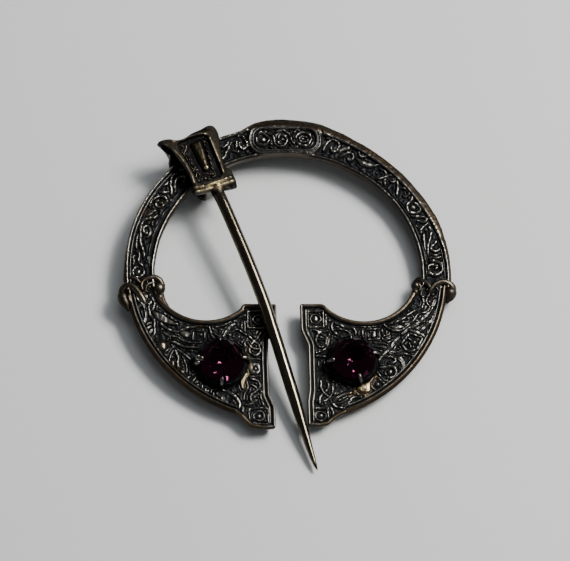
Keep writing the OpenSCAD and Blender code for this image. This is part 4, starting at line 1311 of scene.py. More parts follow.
# the collars, in plan mm: strands as x, y, centre height, radius; knobs as x, y, centre height, radius, squash
COLLAR_L = [
    [(-21.8, -5.5, 1.55, .30), (-22.1, -4.9, 1.66, .44), (-22.55, -4.15, 1.70, .52), (-23.0, -3.45, 1.70, .57), (-23.5, -2.85, 1.70, .58), (-24.15, -2.45, 1.66, .57), (-24.8, -2.5, 1.56, .54), (-25.3, -2.95, 1.40, .50), (-25.5, -3.6, 1.2, .45)],
    [(-25.35, -3.2, 1.05, .50), (-25.3, -3.95, 1.08, .80), (-25.05, -4.75, 1.10, .82), (-24.75, -5.35, 1.10, .68), (-24.55, -5.9, 1.12, .42), (-24.42, -6.35, 1.15, .20)],
    [(-24.15, -3.9, 1.72, .18), (-24.35, -4.35, 1.80, .25), (-24.22, -4.85, 1.78, .25), (-23.85, -5.25, 1.68, .19)],
    [(-24.7, -1.3, 1.72, .20), (-24.0, -1.15, 1.80, .27), (-23.2, -1.4, 1.80, .30), (-22.7, -1.95, 1.74, .25)],
    [(-22.25, -3.1, 1.70, .22), (-22.4, -2.45, 1.80, .30), (-22.15, -1.85, 1.82, .33), (-21.65, -1.4, 1.82, .36), (-21.0, -1.15, 1.74, .44), (-20.3, -1.15, 1.60, .52), (-19.65, -1.5, 1.44, .56), (-19.2, -2.2, 1.25, .5)],
    [(-21.75, -3.4, 1.66, .19), (-21.65, -2.7, 1.74, .23), (-21.3, -2.25, 1.76, .24), (-20.8, -2.05, 1.70, .22)],
    [(-19.35, -3.7, 1.25, .44), (-19.25, -4.5, 1.32, .50), (-18.95, -5.2, 1.40, .42), (-18.45, -5.8, 1.46, .28)],
]
KNOBS_L = [(-19.78, -2.72, 1.10, 1.10, .88), (-19.62, -4.28, 1.32, .64, .95), (-21.88, -4.3, 1.68, .34, 1), (-21.15, -2.75, 1.70, .26, 1)]
COLLAR_R = [
    [(22.0, -3.9, 1.60, .24), (22.25, -3.3, 1.72, .38), (22.65, -2.7, 1.76, .46), (23.3, -2.15, 1.76, .50), (24.1, -1.92, 1.72, .53), (24.95, -2.05, 1.58, .60), (25.6, -2.55, 1.36, .66), (25.8, -3.3, 1.15, .62)],
    [(25.38, -2.8, 1.12, .80), (25.34, -3.45, 1.12, 1.10), (25.12, -4.2, 1.12, .90), (24.85, -4.85, 1.2, .44)],
    [(22.3, -3.4, 1.66, .25), (22.2, -2.85, 1.78, .34), (21.85, -2.3, 1.80, .36), (21.35, -1.8, 1.76, .34), (20.85, -1.45, 1.64, .36), (20.35, -1.5, 1.50, .38), (19.9, -1.9, 1.36, .34)],
    [(20.55, -3.3, 1.64, .18), (20.75, -2.75, 1.70, .20), (20.45, -2.3, 1.74, .23), (20.0, -2.5, 1.66, .18)],
    [(20.9, -4.4, 1.64, .17), (20.75, -3.8, 1.70, .22), (20.95, -3.3, 1.64, .18)],
]
KNOBS_R = [(20.1, -2.35, 1.22, .76, .95), (19.95, -3.45, 1.28, .62, .95), (21.8, -4.35, 1.66, .28, 1), (22.6, -4.0, 1.64, .26, 1), (22.62, -4.55, 1.62, .22, 1)]


def build_collar(name, strands, knobs):
    parts = []
    for rows in strands:
        q = spline3(rows, 9)
        parts.append(tube(q[:, :3], q[:, 3], sides=22, wobble=0.014))
    for x, y, z, r, k in knobs:
        parts.append(ball((x, y, z), r, 28, k))
    V, F = join(parts)
    zc = np.clip((V[:, 2] - 1.15) / 1.0, 0.10, 0.84) * np.clip(0.85 + 0.35 * noise2(V[:, 0], V[:, 1], 0.6, 77), 0.5, 1)
    return make(name, V, F, "brooch", ["frame"], CAST, {"cav": zc, "brown": np.full(len(V), 0.66)})


STONE_R, GIRDLE_Z = 3.45, 3.0


def build_setting(side):
    c = STONES[side]
    claws = {"l": [(5, .46), (95, .40), (178, .62), (268, .46)], "r": [(12, .46), (95, .40), (188, .50), (285, .50)]}[side]
    parts = []

    def ripple(a, r, z):
        k = 0.5 + 0.5 * math.cos(a * 16)
        hi = np.clip((z - 2.0) / 0.4, 0, 1)
        return r - 0.05 * k * hi, z - 0.16 * k * hi

    prof = [(3.96, 1.45), (3.98, 1.62), (3.90, 1.74), (3.82, 1.80), (3.84, 2.1), (3.80, 2.42), (3.70, 2.50), (3.58, 2.46), (3.50, 2.2), (3.36, 1.6), (3.36, 1.4)]
    parts.append(lathe(prof, c, 128, True, ripple))
    # cup under the stone, near-black as painted shade
    parts.append(lathe([(3.40, 2.80), (3.47, 2.80), (3.62, 2.3), (3.62, 1.5), (3.50, 1.5), (3.50, 2.3)], c, 96, True))
    for a, w in claws:
        t = math.radians(a)
        er = np.array([math.cos(t), math.sin(t), 0])
        base = np.array([c[0], c[1], 0])
        rows = [(4.02, 1.5, .30 + w * .25), (3.98, 2.1, .24 + w * .2), (3.92, 2.7, .20 + w * .2), (3.80, 3.15, .17 + w * .28), (3.55, 3.46, w * .62), (3.18, 3.60, w * .62)]
        q = spline3([(*(base + er * r + np.array([0, 0, z])), rad) for r, z, rad in rows], 7)
        parts.append(tube(q[:, :3], q[:, 3], sides=20, up=(0.3, 0.1, 1), flat=0.85))
        if side == "l" and a == 178:
            for off in (0.62, -0.5):
                tt = t + off / 4.2
                e2 = np.array([math.cos(tt), math.sin(tt), 0])
                q = spline3([(*(base + e2 * r + np.array([0, 0, z])), rad) for r, z, rad in [(4.3, 1.5, .36), (4.1, 2.3, .36), (3.95, 2.9, .38), (3.75, 3.2, .36)]], 6)
                parts.append(tube(q[:, :3], q[:, 3], sides=18, up=(0.3, 0.1, 1), flat=0.9))
    V, F = join(parts)
    r = np.hypot(V[:, 0] - c[0], V[:, 1] - c[1])
    # darker towards the foot, and near-black inside the collet and the cup under the stone: painted shade
    cav = np.clip((V[:, 2] - 2.5) / 0.8, 0.10, 0.96)
    cav = np.where(r < 3.52, np.where(V[:, 2] > 3.2, cav, 0.02), cav)
    return make("setting_left" if side == "l" else "setting_right", V, F, "brooch", ["frame"], CAST, {"cav": cav, "brown": np.full(len(V), 0.12)})


def build_stone(side):
    c = STONES[side]
    turn = {"l": 33.0, "r": 20.0}[side]
    R, g = STONE_R, GIRDLE_Z
    V, F = [], []

    def ring(n, r, z, off):
        i0 = len(V)
        for k in range(n):
            a = math.radians(turn + off + 360 * k / n)
            V.append((c[0] + r * math.cos(a), c[1] + r * math.sin(a), g + z))
        return [i0 + k for k in range(n)]

    tb, hh, deep = 1.95, 0.90, 2.70
    slope = (hh - 0.06) / (R - tb)
    m = 2.80
    zm = hh - slope * (m * math.cos(math.radians(22.5)) - tb)
    T = ring(8, tb, hh, 0)
    M = ring(8, m, zm, 22.5)
    G = ring(16, R, 0.06, 0)
    L = ring(16, R, -0.05, 0)
    p = 1.15
    zp = -deep + (deep - 0.05) / R * p * math.cos(math.radians(22.5))
    P = ring(8, p, zp, 22.5)
    V.append((c[0], c[1], g - deep))
    C = len(V) - 1
    F.append(tuple(T))
    for k in range(8):
        n = (k + 1) % 8
        F.append((T[k], M[k], T[n]))
        F.append((T[k], M[k - 1], G[2 * k], M[k]))
        F.append((M[k], G[2 * k], G[2 * k + 1]))
        F.append((M[k], G[2 * k + 1], G[(2 * k + 2) % 16]))
        F.append((C, P[k], L[2 * k], P[k - 1]))
        F.append((P[k], L[2 * k + 1], L[2 * k]))
        F.append((P[k], L[(2 * k + 2) % 16], L[2 * k + 1]))
    for k in range(16):
        n = (k + 1) % 16
        F.append((G[k], L[k], L[n], G[n]))
    F = outward(np.array(V), F)
    name = "stone_left" if side == "l" else "stone_right"
    return make("gem_left" if side == "l" else "gem_right", V, F, "brooch", [name], GEM, smooth=False)


# the pin's head: its own plan, s towards the point and t across
HEAD_C, PIN_A = (-12.6, 17.9), math.radians(-71)
HEAD_Z, HEAD_SLOPE = 3.45, math.tan(math.radians(1.7))
HEAD_OUT = [(-4.9, -5.72), (-5.05, -5.2), (-5.02, -4.4), (-4.8, -3.7), (-4.42, -3.0), (-4.28, -2.2), (-4.45, -1.2), (-4.8, -0.2), (-4.98, 1.0), (-5.2, 2.2), (-5.2, 3.0), (-4.9, 3.5), (-4.2, 3.76), (-3.2, 3.74), (-1.5, 3.4), (0, 3.08), (1.4, 2.86), (2.3, 2.88), (2.8, 3.2), (3.4, 3.46), (4.4, 3.56), (5.4, 3.52), (6.0, 3.38), (6.08, 2.7), (5.92, 1.4), (5.65, 0), (5.42, -1.4), (5.3, -2.6), (5.1, -3.1), (4.6, -3.22), (3.6, -3.06), (2.2, -3.0), (0.8, -3.15), (-0.6, -3.40), (-1.7, -3.66), (-2.9, -4.18), (-4.0, -4.80), (-4.6, -5.38)]
HEAD_PANEL = [(-3.9, -1.9), (-4.0, -0.6), (-3.95, 0.8), (-3.72, 1.55), (-3.2, 1.92), (-1.0, 1.95), (1.4, 1.98), (3.2, 1.95), (3.75, 1.55), (3.9, 0.4), (3.85, -1.2), (3.7, -2.25), (2.6, -2.42), (1.0, -2.52), (-0.8, -2.78), (-2.4, -3.1), (-3.5, -3.15), (-3.85, -2.6)]
HEAD_BOSS = [(-3.15, -1.02), (-3.2, -0.2), (-3.05, 0.6), (-1.2, 0.62), (0.4, 0.48), (1.5, 0.36), (2.0, 0.1), (2.02, -0.3), (1.6, -0.58), (0.4, -0.85), (-1.4, -1.0), (-2.6, -1.12)]


def head_world(s, t, z):
    """From the head's own plan to the part's frame; z is above the underside at the middle."""
    c, q = math.cos(PIN_A), math.sin(PIN_A)
    x = HEAD_C[0] + s * c - t * q
    y = HEAD_C[1] + s * q + t * c
    return x, y, HEAD_Z + z - s * HEAD_SLOPE


def painted_bar_highlight(s, t):
    """Painted highlight on the bar, above the shank's root."""
    return np.exp(-((s - 4.85) / 0.75) ** 2 - ((t - 0.4) / 1.3) ** 2)


def head_height(s, t):
    base = 1.12
    out = spline(np.array(HEAD_OUT), step=0.12, closed=True)
    pan = spline(np.array(HEAD_PANEL), step=0.12, closed=True)
    bos = spline(np.array(HEAD_BOSS), step=0.12, closed=True)
    d = near(s, t, np.vstack([out, out[:1]]))[0]
    dp = near(s, t, np.vstack([pan, pan[:1]]))[0]
    dp = np.where(inside(s, t, pan), dp, -dp)
    db = near(s, t, np.vstack([bos, bos[:1]]))[0]
    db = np.where(inside(s, t, bos), db, -db)
    H = np.full(len(s), base)
    H -= 0.30 * np.clip(1 - d / 0.34, 0, 1) ** 2
    # the bevels: down to the right, and down beyond the top of the frame
    H -= 0.42 * np.clip((t - 2.35) / 1.3, 0, 1) ** 1.3 * np.clip((3.2 - s) / 1.5, 0, 1)
    H -= 0.30 * np.clip((-s - 4.15) / 0.9, 0, 1) * np.clip((3.2 - t) / 1.4, 0, 1) * np.clip((t + 2.6) / 1.2, 0, 1)
    # raised ridges: left border, top of the frame, its right side
    edge = np.zeros(len(s))
    for pts, w, h in HEAD_RIDGES:
        dr, pos, _, tot = near(s, t, spline(pts))
        k = np.clip(np.minimum(pos, tot - pos) / 0.3, 0.25, 1)
        H += h * k * np.exp(-(dr / w) ** 2)
        edge = np.maximum(edge, k * np.exp(-(dr / 0.10) ** 2))
    floor = 0.66
    P = np.full(len(s), floor) + 0.03 * noise2(s, t, 0.28, 63)
    Q = P.copy()
    for row in HEAD_STRANDS:
        lay(Q, s, t, spline(row[3]), row[1], row[2], floor, style=row[0], taper=0.2)
    for x, y, r, h in HEAD_BEADS:
        boss(Q, s, t, x, y, r, h, floor)
    P = np.maximum(P - 0.05 * (Q < floor), Q)
    q = np.clip(db / 0.62, 0, 1)
    body = floor + 0.10 + (0.42 + 0.06 * np.clip((s + 1) / 2.5, 0, 1)) * np.sqrt(np.clip(1 - (1 - q) ** 2, 0, 1))
    body -= 0.10 * np.clip((-1.6 - s) / 1.6, 0, 1)
    P = np.where(db > 0, body, P)
    P = np.where((db <= 0) & (db > -0.16), floor - 0.10, P)
    ball_d = np.hypot(s - 1.62, t + 0.12)
    P = np.where(ball_d < 0.44, np.maximum(P, floor + 0.38 + 0.34 * np.sqrt(np.clip(1 - (ball_d / 0.44) ** 2, 0, 1))), P)
    k = np.clip(dp / 0.14, 0, 1)
    H = np.where(dp > 0, H * (1 - k) + P * k, H)
    # the bar zone at the inner edge: two ridges and a groove
    zone = np.clip((s - 3.95) / 0.25, 0, 1)
    b1 = near(s, t, spline([4.28, -2.75, 4.48, -1.6, 4.5, 0.2, 4.42, 1.4, 4.38, 2.8]))[0]
    b2 = near(s, t, spline([5.0, -2.9, 5.14, -1.4, 5.16, 0.2, 5.12, 1.6, 5.06, 3.1]))[0]
    Z = 0.98 + 0.36 * np.exp(-(b1 / 0.26) ** 2) + 0.36 * np.exp(-(b2 / 0.22) ** 2)
    Z = Z - 0.32 * np.clip((s - 5.3) / 0.6, 0, 1) - 0.22 * np.clip((t - 2.9) / 0.6, 0, 1)
    Z = Z + 0.05 * noise2(s, t, 0.5, 66) + 0.03 * noise2(s, t, 0.22, 67)
    H = H * (1 - zone) + Z * zone
    H = H + 0.016 * noise2(s, t, 0.38, 61) + 0.014 * noise2(s, t, 1.0, 62) + 0.008 * noise2(s, t, 0.17, 64)
    cav = np.clip((H - floor + 0.02) / 0.42, 0, 1)
    outer = np.clip(0.35 + (H - base) * 3.2, 0.17, 0.95)
    # painted highlight: thin bright lines along the raised ridges
    outer = np.maximum(outer, 0.9 * edge * np.clip(0.6 + 0.9 * noise2(s, t, 0.8, 72), 0, 1))
    outer = outer - 0.16 * np.clip((t - 2.0) / 0.5, 0, 1) * np.clip((3.4 - s) / 0.6, 0, 1)
    cav = np.where(dp > 0, cav * np.where(db > 0, 0.46, 0.92), outer)
    cav = cav - 0.35 * np.exp(-((dp - 0.05) / 0.12) ** 2)
    channel = np.exp(-(np.abs(t - 1.58) / 0.34) ** 4) * (dp > 0.1)
    cav = cav * (1 - 0.75 * channel)
    # the ball painted bright and warm as a highlight
    cav = np.where(ball_d < 0.40, 0.9, cav)
    cav = np.where(zone > 0.5, np.clip(0.50 + 1.8 * (Z - 1.1), 0.2, 1), cav)
    brown = 0.62 * np.ones(len(s)) + 0.2 * np.clip((t - 1.6) / 1.2, 0, 1)
    brown = brown * (1 - 0.7 * edge)
    brown = np.where(dp > 0.1, np.where(db > 0.05, 0.9, 0.15), brown)
    brown = np.where(zone > 0.5, 0.25, brown)
    brown = np.where(ball_d < 0.42, 0.1, brown)
    # painted highlights: a bright patch on the bar above the shank's root, warm colour along the bar's two ridges, on
    # the ridge lines outside the panel and on the ball
    cav = np.where(zone > 0.5, np.maximum(cav, 0.9 * painted_bar_highlight(s, t)), cav)
    patch = painted_bar_highlight(s, t)
    warm = 1.0 * zone * (np.exp(-(b1 / 0.22) ** 2) + np.exp(-(b2 / 0.2) ** 2)) * np.clip(0.55 + 0.9 * noise2(s, t, 1.1, 68) + patch, 0, 1) + 0.7 * zone * patch
    warm = np.where((dp <= 0) & (zone < 0.5), np.maximum(warm, 0.5 * edge * np.clip(0.45 + 1.1 * noise2(s, t, 1.0, 74), 0, 1)), warm)
    warm = np.where((ball_d < 0.36), 0.5, warm)
    return H, np.clip(cav, 0, 1), np.clip(brown, 0, 1), np.clip(warm, 0, 1)


HEAD_RIDGES = [
    ([-4.75, -5.35, -3.9, -4.58, -2.9, -3.98, -1.7, -3.46, -0.6, -3.2, 0.8, -2.95, 2.2, -2.8, 3.6, -2.86], .13, .13),
    ([-3.85, -2.2, -4.1, -1.2, -4.15, 0.0, -4.1, 1.0, -3.8, 1.85], .14, .13),
    ([-3.3, 2.12, -1.0, 2.15, 1.2, 2.18, 3.3, 2.15], .13, .07),
    ([-4.85, 1.9, -4.92, 2.6, -4.7, 3.15], .2, .14),
    ([-4.7, -4.6, -4.45, -3.8, -4.1, -3.2], .16, .07),
]
HEAD_STRANDS = [
    ("s", .30, .30, [-3.3, -2.6, -2.9, -2.2, -2.6, -2.6, -2.2, -2.85, -1.8, -2.4, -1.4, -2.1, -1.0, -2.45, -0.5, -2.3, -0.1, -1.9, 0.4, -2.0, 0.8, -2.25, 1.3, -1.9, 1.7, -1.55, 2.1, -1.9, 2.6, -2.15]),
    ("s", .26, .26, [-3.2, -1.8, -2.6, -1.9, -2.1, -2.3, -1.6, -2.65, -1.0, -2.0, -0.5, -1.8, 0.2, -2.35, 0.9, -1.7, 1.5, -2.2, 2.1, -1.5, 2.7, -1.6]),
    ("s", .26, .26, [-3.3, 0.5, -3.5, 1.1, -3.1, 1.5, -2.7, 1.2, -2.2, 0.95, -1.7, 1.2, -1.2, 0.95, -0.7, 1.15, -0.2, 0.9, 0.3, 1.08, 0.8, 0.82, 1.3, 1.0, 1.8, 0.75, 2.3, 0.9]),
    ("s", .24, .24, [2.5, -0.9, 2.4, -0.4, 2.8, 0.0, 2.5, 0.5, 2.9, 0.9, 3.3, 0.6, 3.2, 0.1]),
    ("s", .24, .24, [3.4, -1.7, 3.1, -1.2, 3.3, -0.7, 3.5, -0.2]),
]
HEAD_BEADS = [(-2.85, -2.3, .26, .40), (-1.6, -2.3, .2, .34), (-0.6, -2.1, .2, .34), (0.2, -2.05, .24, .36), (1.45, -1.62, .26, .40), (2.4, -1.5, .2, .32), (3.2, -0.85, .27, .38),
              (-2.7, 1.1, .26, .42), (-1.5, 1.3, .2, .34), (-0.6, 1.05, .18, .32), (0.4, 0.95, .18, .32), (1.3, 0.85, .2, .32), (2.85, 0.5, .22, .34), (3.45, 1.5, .2, .3), (3.3, -2.0, .22, .34)]


def build_head():
    loop = spline(np.array(HEAD_OUT), step=0.09, closed=True)[:-1]
    loop = dedupe(loop, 0.04)

    def height(s, t):
        H, cav, brown, warm = head_height(s, t)
        return H, {"cav": (cav, 0.45), "brown": (brown, 0.7), "warm": (warm, 0.0)}

    V, F, ex = plate(loop, height, 0.075, [(-0.02, lambda x, y, z: z - 0.14), (0.0, lambda x, y, z: 0.4 + 0 * z), (0.03, lambda x, y, z: 0.12 + 0 * z), (0.16, lambda x, y, z: 0.0 * z)])
    x, y, z = head_world(V[:, 0], V[:, 1], V[:, 2])
    return make("pin_head", np.column_stack([x, y, z]), F, "pin", ["pin"], PIN_HEAD, ex)


def build_loop():
    """The band that wraps the hoop under the head."""
    o, i, b, w = 25.5, 18.35, -1.25, 0.8
    a0, a1 = math.radians(125.5 - 8), math.radians(125.5 + 8)
    # centreline of the band in (r, z), from the inner root down, across and up the outer side
    mid = [(i - w / 2, 4.0), (i - w / 2, 2.6), (i - w / 2, 1.2), (i - w / 2, 0.3), (i - w / 2 + 0.14, -0.55), (i + 0.35, -1.35), (i + 1.2, -1.63),
           (i + 2.6, -1.65), ((i + o) / 2, -1.65), (o - 2.6, -1.65), (o - 1.2, -1.63), (o - 0.35, -1.35), (o + w / 2 - 0.14, -0.55), (o + w / 2, 0.3), (o + w / 2, 1.2), (o + w / 2, 2.6), (o + w / 2, 3.9)]
    L = spline(np.array(mid), step=0.14)
    t = np.gradient(L, axis=0)
    t /= np.linalg.norm(t, axis=1, keepdims=True)
    nrm = np.stack([t[:, 1], -t[:, 0]], 1)
    h = w / 2
    # rounded section across the band: (share of the half-width in angle, offset in thickness)
    sec = []
    for k in np.linspace(0, 2 * math.pi, 28, endpoint=False):
        cx, cy = math.cos(k), math.sin(k)
        e = 0.22
        sec.append((np.sign(cx) * abs(cx) ** e, np.sign(cy) * abs(cy) ** 0.75))
    am, ah = (a0 + a1) / 2, (a1 - a0) / 2
    V, F = [], []
    for p, n_ in zip(L, nrm):
        for sx, sy in sec:
            q = p + n_ * sy * h
            ang = am + ah * sx
            V.append((q[0] * math.cos(ang), q[0] * math.sin(ang), q[1]))
    m = len(sec)
    for k in range(len(L) - 1):
        for j in range(m):
            jj = (j + 1) % m
            F.append((k * m + j, k * m + jj, (k + 1) * m + jj, (k + 1) * m + j))
    F.append(tuple(range(m)))
    F.append(tuple((len(L) - 1) * m + j for j in range(m))[::-1])
    V = np.array(V)
    V = V + 0.010 * np.column_stack([noise2(V[:, 0], V[:, 2], .6, 71), noise2(V[:, 1], V[:, 2], .6, 72), 0 * V[:, 0]])
    F = outward(V, F)
    cav = np.clip(0.55 + 0.2 * noise2(V[:, 0], V[:, 1] + V[:, 2], 0.8, 73), 0, 1)
    return make("pin_loop", V, F, "pin", ["pin"], PIN_HEAD, {"cav": cav, "brown": np.full(len(V), .4)})


def build_ear_wall():
    """The patterned wall under the head's outer end, outside the hoop."""
    c, q = math.cos(PIN_A), math.sin(PIN_A)
    r_in = 25.75
    loop = spline(np.array(HEAD_OUT), step=0.08, closed=True)[:-1]
    X, Y, _ = head_world(loop[:, 0], loop[:, 1], 0)
    P = np.stack([X, Y], 1)
    if area2(P) < 0:
        P = P[::-1]
    r = np.hypot(P[:, 0], P[:, 1])
    parts = []
    on = r > r_in
    # runs of the outline that lie beyond the hoop
    runs, cur = [], []
    n = len(P)
    start = next(k for k in range(n) if not on[k])
    for k in range(start, start + n):
        if on[k % n]:
            cur.append(k % n)
        elif cur:
            runs.append(cur)
            cur = []
    if cur:
        runs.append(cur)
    allV, allF, allC = [], [], []
    off = 0
    nrm_all = out_normals(P)
    for run in runs:
        if len(run) < 8:
            continue
        A = P[run]
        N = nrm_all[run]
        L = len(A)
        s = np.concatenate([[0], np.cumsum(np.hypot(*np.diff(A, axis=0).T))])
        zt = HEAD_Z + 0.5
        zb = -0.3
        rows = 46
        zs = np.linspace(zt, zb, rows)
        S, Z = np.meshgrid(s, zs)
        tip = head_world(-4.9, -5.72, 0)
        far = np.clip((np.hypot(A[:, 0] - tip[0], A[:, 1] - tip[1]) - 0.1) / 2.4, 0, 1)
        rel = np.zeros(S.size)
        sf, zf = S.ravel(), Z.ravel()
        tmp = np.zeros(len(sf))
        mid = (zt + zb) / 2
        total = s[-1]
        # wavy ridges along the wall, with short bars between the middle ones
        for k, z0 in enumerate((0.62, 1.28, 2.30, 2.98)):
            xs = np.arange(0.1, total + 0.2, 0.45)
            pts = np.column_stack([xs, zt - z0 + 0.11 * np.sin(2.3 * xs + 1.9 * k)])
            lay(tmp, sf, zf, spline(pts), .38 if k % 3 else .46, .22, 0.0)
        for k in range(int(total / 0.85)):
            x0 = 0.35 + 0.85 * k
            lay(tmp, sf, zf, spline([x0, zt - 1.58, x0 + 0.34, zt - 2.02]), .26, .18, 0.0)
        tmp = tmp.reshape(S.shape)
        edge = np.minimum(np.clip((zs - zb) / 0.25, 0, 1), 1)[:, None]
        # the lower edge climbs towards the ear's tip, and the wall leans out a little
        drop = 0.6 + (zt - zb - 0.6) * far
        Z = zt - (zt - Z) * (drop / (zt - zb))[None, :]
        off_n = (tmp - 0.10) * edge - 0.12 * (1 - edge) + 0.10 * np.sin(np.clip((zt - Z) / 3.5, 0, 1) * math.pi)
        top = np.stack([A[None, :, 0] + N[None, :, 0] * off_n, A[None, :, 1] + N[None, :, 1] * off_n, Z], -1)
        # inner face, on the hoop's side
        inner = A - N * 0.0
        ang = np.arctan2(A[:, 1], A[:, 0])
        I = np.stack([r_in * np.cos(ang), r_in * np.sin(ang)], 1)
        bot = np.stack([np.broadcast_to(I[:, 0], S.shape), np.broadcast_to(I[:, 1], S.shape), Z], -1)
        V = np.vstack([top.reshape(-1, 3), bot.reshape(-1, 3)])
        F = []
        h = rows * L
        for a in range(rows - 1):
            for b_ in range(L - 1):
                i = a * L + b_
                F.append((i, i + L, i + L + 1, i + 1))
                F.append((h + i, h + i + 1, h + i + L + 1, h + i + L))
        for b_ in range(L - 1):
            F.append((b_, b_ + 1, h + b_ + 1, h + b_))
            i = (rows - 1) * L + b_
            F.append((i, h + i, h + i + 1, i + 1))
        for a in range(rows - 1):
            i = a * L
            F.append((i, h + i, h + i + L, i + L))
            i = a * L + L - 1
            F.append((i, i + L, h + i + L, h + i))
        F = outward(V, F)
        allV.append(V)
        allF += [tuple(k + off for k in f) for f in F]
        allC.append(np.concatenate([0.42 + np.clip((tmp.ravel() + 0.02) / 0.24, 0, 1) * 0.58, np.full(len(V) - h, 0.4)]))
        off += len(V)
    V = np.vstack(allV)
    return make("pin_ear_wall", V, allF, "pin", ["pin"], PIN_EAR_PAINTED_SHEEN, {"cav": np.concatenate(allC), "brown": np.full(len(V), .25)})


def build_shank():
    rows = [(-10.68, 13.1, 3.62, 1.0), (-10.40, 12.35, 3.84, .97), (-9.80, 10.9, 3.95, .95), (-8.85, 8.5, 3.86, .95), (-5.85, .5, 3.55, .95), (-3.63, -6, 3.25, .95), (-2.41, -10.3, 2.96, .95), (-1.46, -13.6, 2.6, .95),
            (-.38, -17.5, 2.2, .95), (.60, -21, 1.85, .93), (1.65, -24.9, 1.45, .77), (2.74, -28.8, 1.0, .54), (3.46, -31.2, .75, .33), (3.84, -32.2, .65, .10)]
    q = spline3(rows, 16)
    V, F = tube(q[:, :3], q[:, 3], sides=48)
    V = V + 0.006 * np.column_stack([noise2(V[:, 0] * 2, V[:, 1] * .5, .8, 81), 0 * V[:, 0], noise2(V[:, 0] * 2, V[:, 1] * .5, .8, 82)])
    return make("pin_shank", V, outward(V, F), "pin", ["pin"], SMOOTH)


def build_root():
    """The flare where the shank leaves the head's bar, with a painted highlight on its top towards the bar."""
    rows = [(-10.78, 13.3, 3.66, .88), (-10.60, 12.85, 3.80, .95), (-10.48, 12.55, 3.87, 1.0), (-10.38, 12.30, 3.89, 1.0), (-10.28, 12.05, 3.91, .97), (-10.20, 11.85, 3.92, .95)]
    q = spline3(rows, 8)
    V, F = tube(q[:, :3], q[:, 3], sides=48)
    V = V + 0.012 * np.column_stack([noise2(V[:, 0], V[:, 1], .4, 83), 0 * V[:, 0], noise2(V[:, 0], V[:, 1], .4, 84)])
    # painted highlight: lighter and warm on its top, towards the bar
    up = np.clip((V[:, 2] - 3.7) / 0.6, 0, 1)
    bar = np.clip((V[:, 1] - 11.95) / 0.8, 0, 1)
    return make("pin_root", V, outward(V, F), "pin", ["pin"], PIN_HEAD, {"cav": 0.16 + 0.66 * (up * bar) ** 2, "brown": np.full(len(V), 0.35), "warm": 0.85 * (up * bar) ** 2 * np.clip(0.5 + 0.9 * noise2(V[:, 0], V[:, 1], .5, 87), 0, 1)})


# ---------------------------------------------------------------- scene
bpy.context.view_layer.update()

for side in "lr":
    build_terminal(side)
    build_setting(side)
    build_stone(side)
build_hoop()
build_collar("collar_left", COLLAR_L, KNOBS_L)
build_collar("collar_right", COLLAR_R, KNOBS_R)
build_head()
build_loop()
build_ear_wall()
build_shank()
build_root()


def floor_material():
    m, nt, b = node_material("pale_floor")
    b.inputs["Base Color"].default_value = (0.52, 0.527, 0.52, 1)
    b.inputs["Roughness"].default_value = 0.55
    b.inputs["Specular IOR Level"].default_value = 0.3
    return m


def add_floor():
    # the plane the part lies on, through the loop's bottom and the terminals' backs
    p = [np.array(q, float) for q in ((-13.0, 18.3, -2.07), (24.3, -6.0, -0.02), (-6.5, -24.5, -0.02))]
    n = np.cross(p[1] - p[0], p[2] - p[0])
    n /= np.linalg.norm(n)
    if n[2] < 0:
        n = -n
    c = p[0] + (p[1] - p[0]) * 0.4
    c = c - n * (c - p[0]) @ n
    x = np.array([1, 0, 0]) - n * n[0]
    x /= np.linalg.norm(x)
    y = np.cross(n, x)
    S = 900.0
    v = [c + x * a * S + y * b_ * S for a, b_ in ((-1, -1), (1, -1), (1, 1), (-1, 1))]
    me = bpy.data.meshes.new("floor")
    me.from_pydata([tuple(q * MM) for q in v], [], [(0, 1, 2, 3)])
    me.materials.append(floor_material())
    o = bpy.data.objects.new("floor", me)
    bpy.context.scene.collection.objects.link(o)


add_floor()


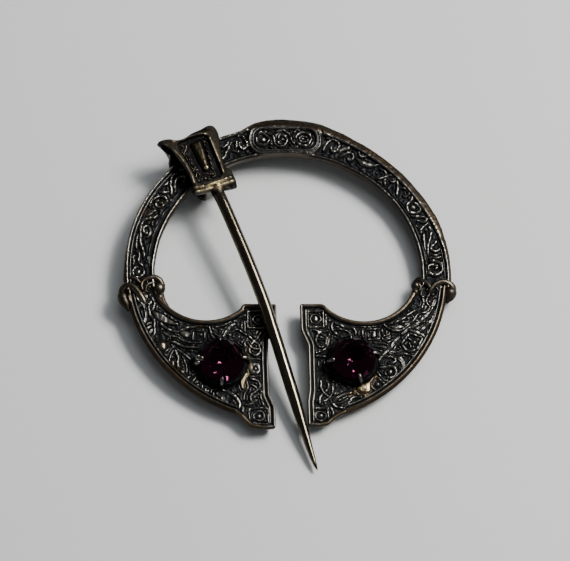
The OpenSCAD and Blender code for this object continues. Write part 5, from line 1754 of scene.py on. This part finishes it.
def camera():
    az, el, roll, D, f = math.radians(-10.027), math.radians(66.177), math.radians(9.177), 450.0, 2900.54
    back = Vector((math.sin(az) * math.cos(el), -math.cos(az) * math.cos(el), math.sin(el)))
    right = Vector((math.cos(az), math.sin(az), 0))
    up = back.cross(right)
    c, s = math.cos(roll), math.sin(roll)
    r2, u2 = c * right + s * up, -s * right + c * up
    cam = bpy.data.cameras.new("camera")
    cam.sensor_width = 36.0
    cam.lens = f / 570.0 * 36.0
    cam.shift_x = -0.46 / 570.0
    cam.shift_y = -5.308 / 570.0
    cam.clip_start, cam.clip_end = 0.01, 10
    o = bpy.data.objects.new("camera", cam)
    m = Matrix((r2, u2, back)).transposed().to_4x4()
    m.translation = back * D * MM
    o.matrix_world = m
    bpy.context.scene.collection.objects.link(o)
    bpy.context.scene.camera = o


camera()


def area(name, az, el, dist, size, power, color=(1, 1, 1), target=(0, 0, 0)):
    L = bpy.data.lights.new(name, "AREA")
    L.shape = "RECTANGLE"
    L.size, L.size_y = size[0], size[1]
    L.energy = power
    L.color = color
    o = bpy.data.objects.new(name, L)
    a, e = math.radians(az), math.radians(el)
    d = Vector((math.cos(a) * math.cos(e), math.sin(a) * math.cos(e), math.sin(e)))
    o.location = Vector(target) + d * dist
    o.rotation_mode = "QUATERNION"
    o.rotation_quaternion = d.to_track_quat("Z", "Y")
    bpy.context.scene.collection.objects.link(o)
    return o


# azimuth is measured from +X towards +Y
area("key", 27, 52, 0.60, (0.30, 0.20), 5.6, (1.0, 0.985, 0.965))
area("spark", 29, 55, 0.60, (0.05, 0.05), 0.85, (1.0, 0.985, 0.965))
area("fill", -60, 24, 0.9, (0.6, 0.25), 0.5, (0.95, 0.97, 1.0))
area("left", 215, 14, 0.8, (0.5, 0.14), 0.5, (0.86, 0.93, 1.0))
soft = area("soft", 50, 62, 1.2, (1.3, 1.3), 9.0, (0.92, 0.965, 1.0))
soft.visible_glossy = False
soft.visible_transmission = False
w = bpy.data.worlds.new("world")
bpy.context.scene.world = w
w.use_nodes = True
w.node_tree.nodes["Background"].inputs[0].default_value = (0.90, 0.95, 1.0, 1)
w.node_tree.nodes["Background"].inputs[1].default_value = 0.085
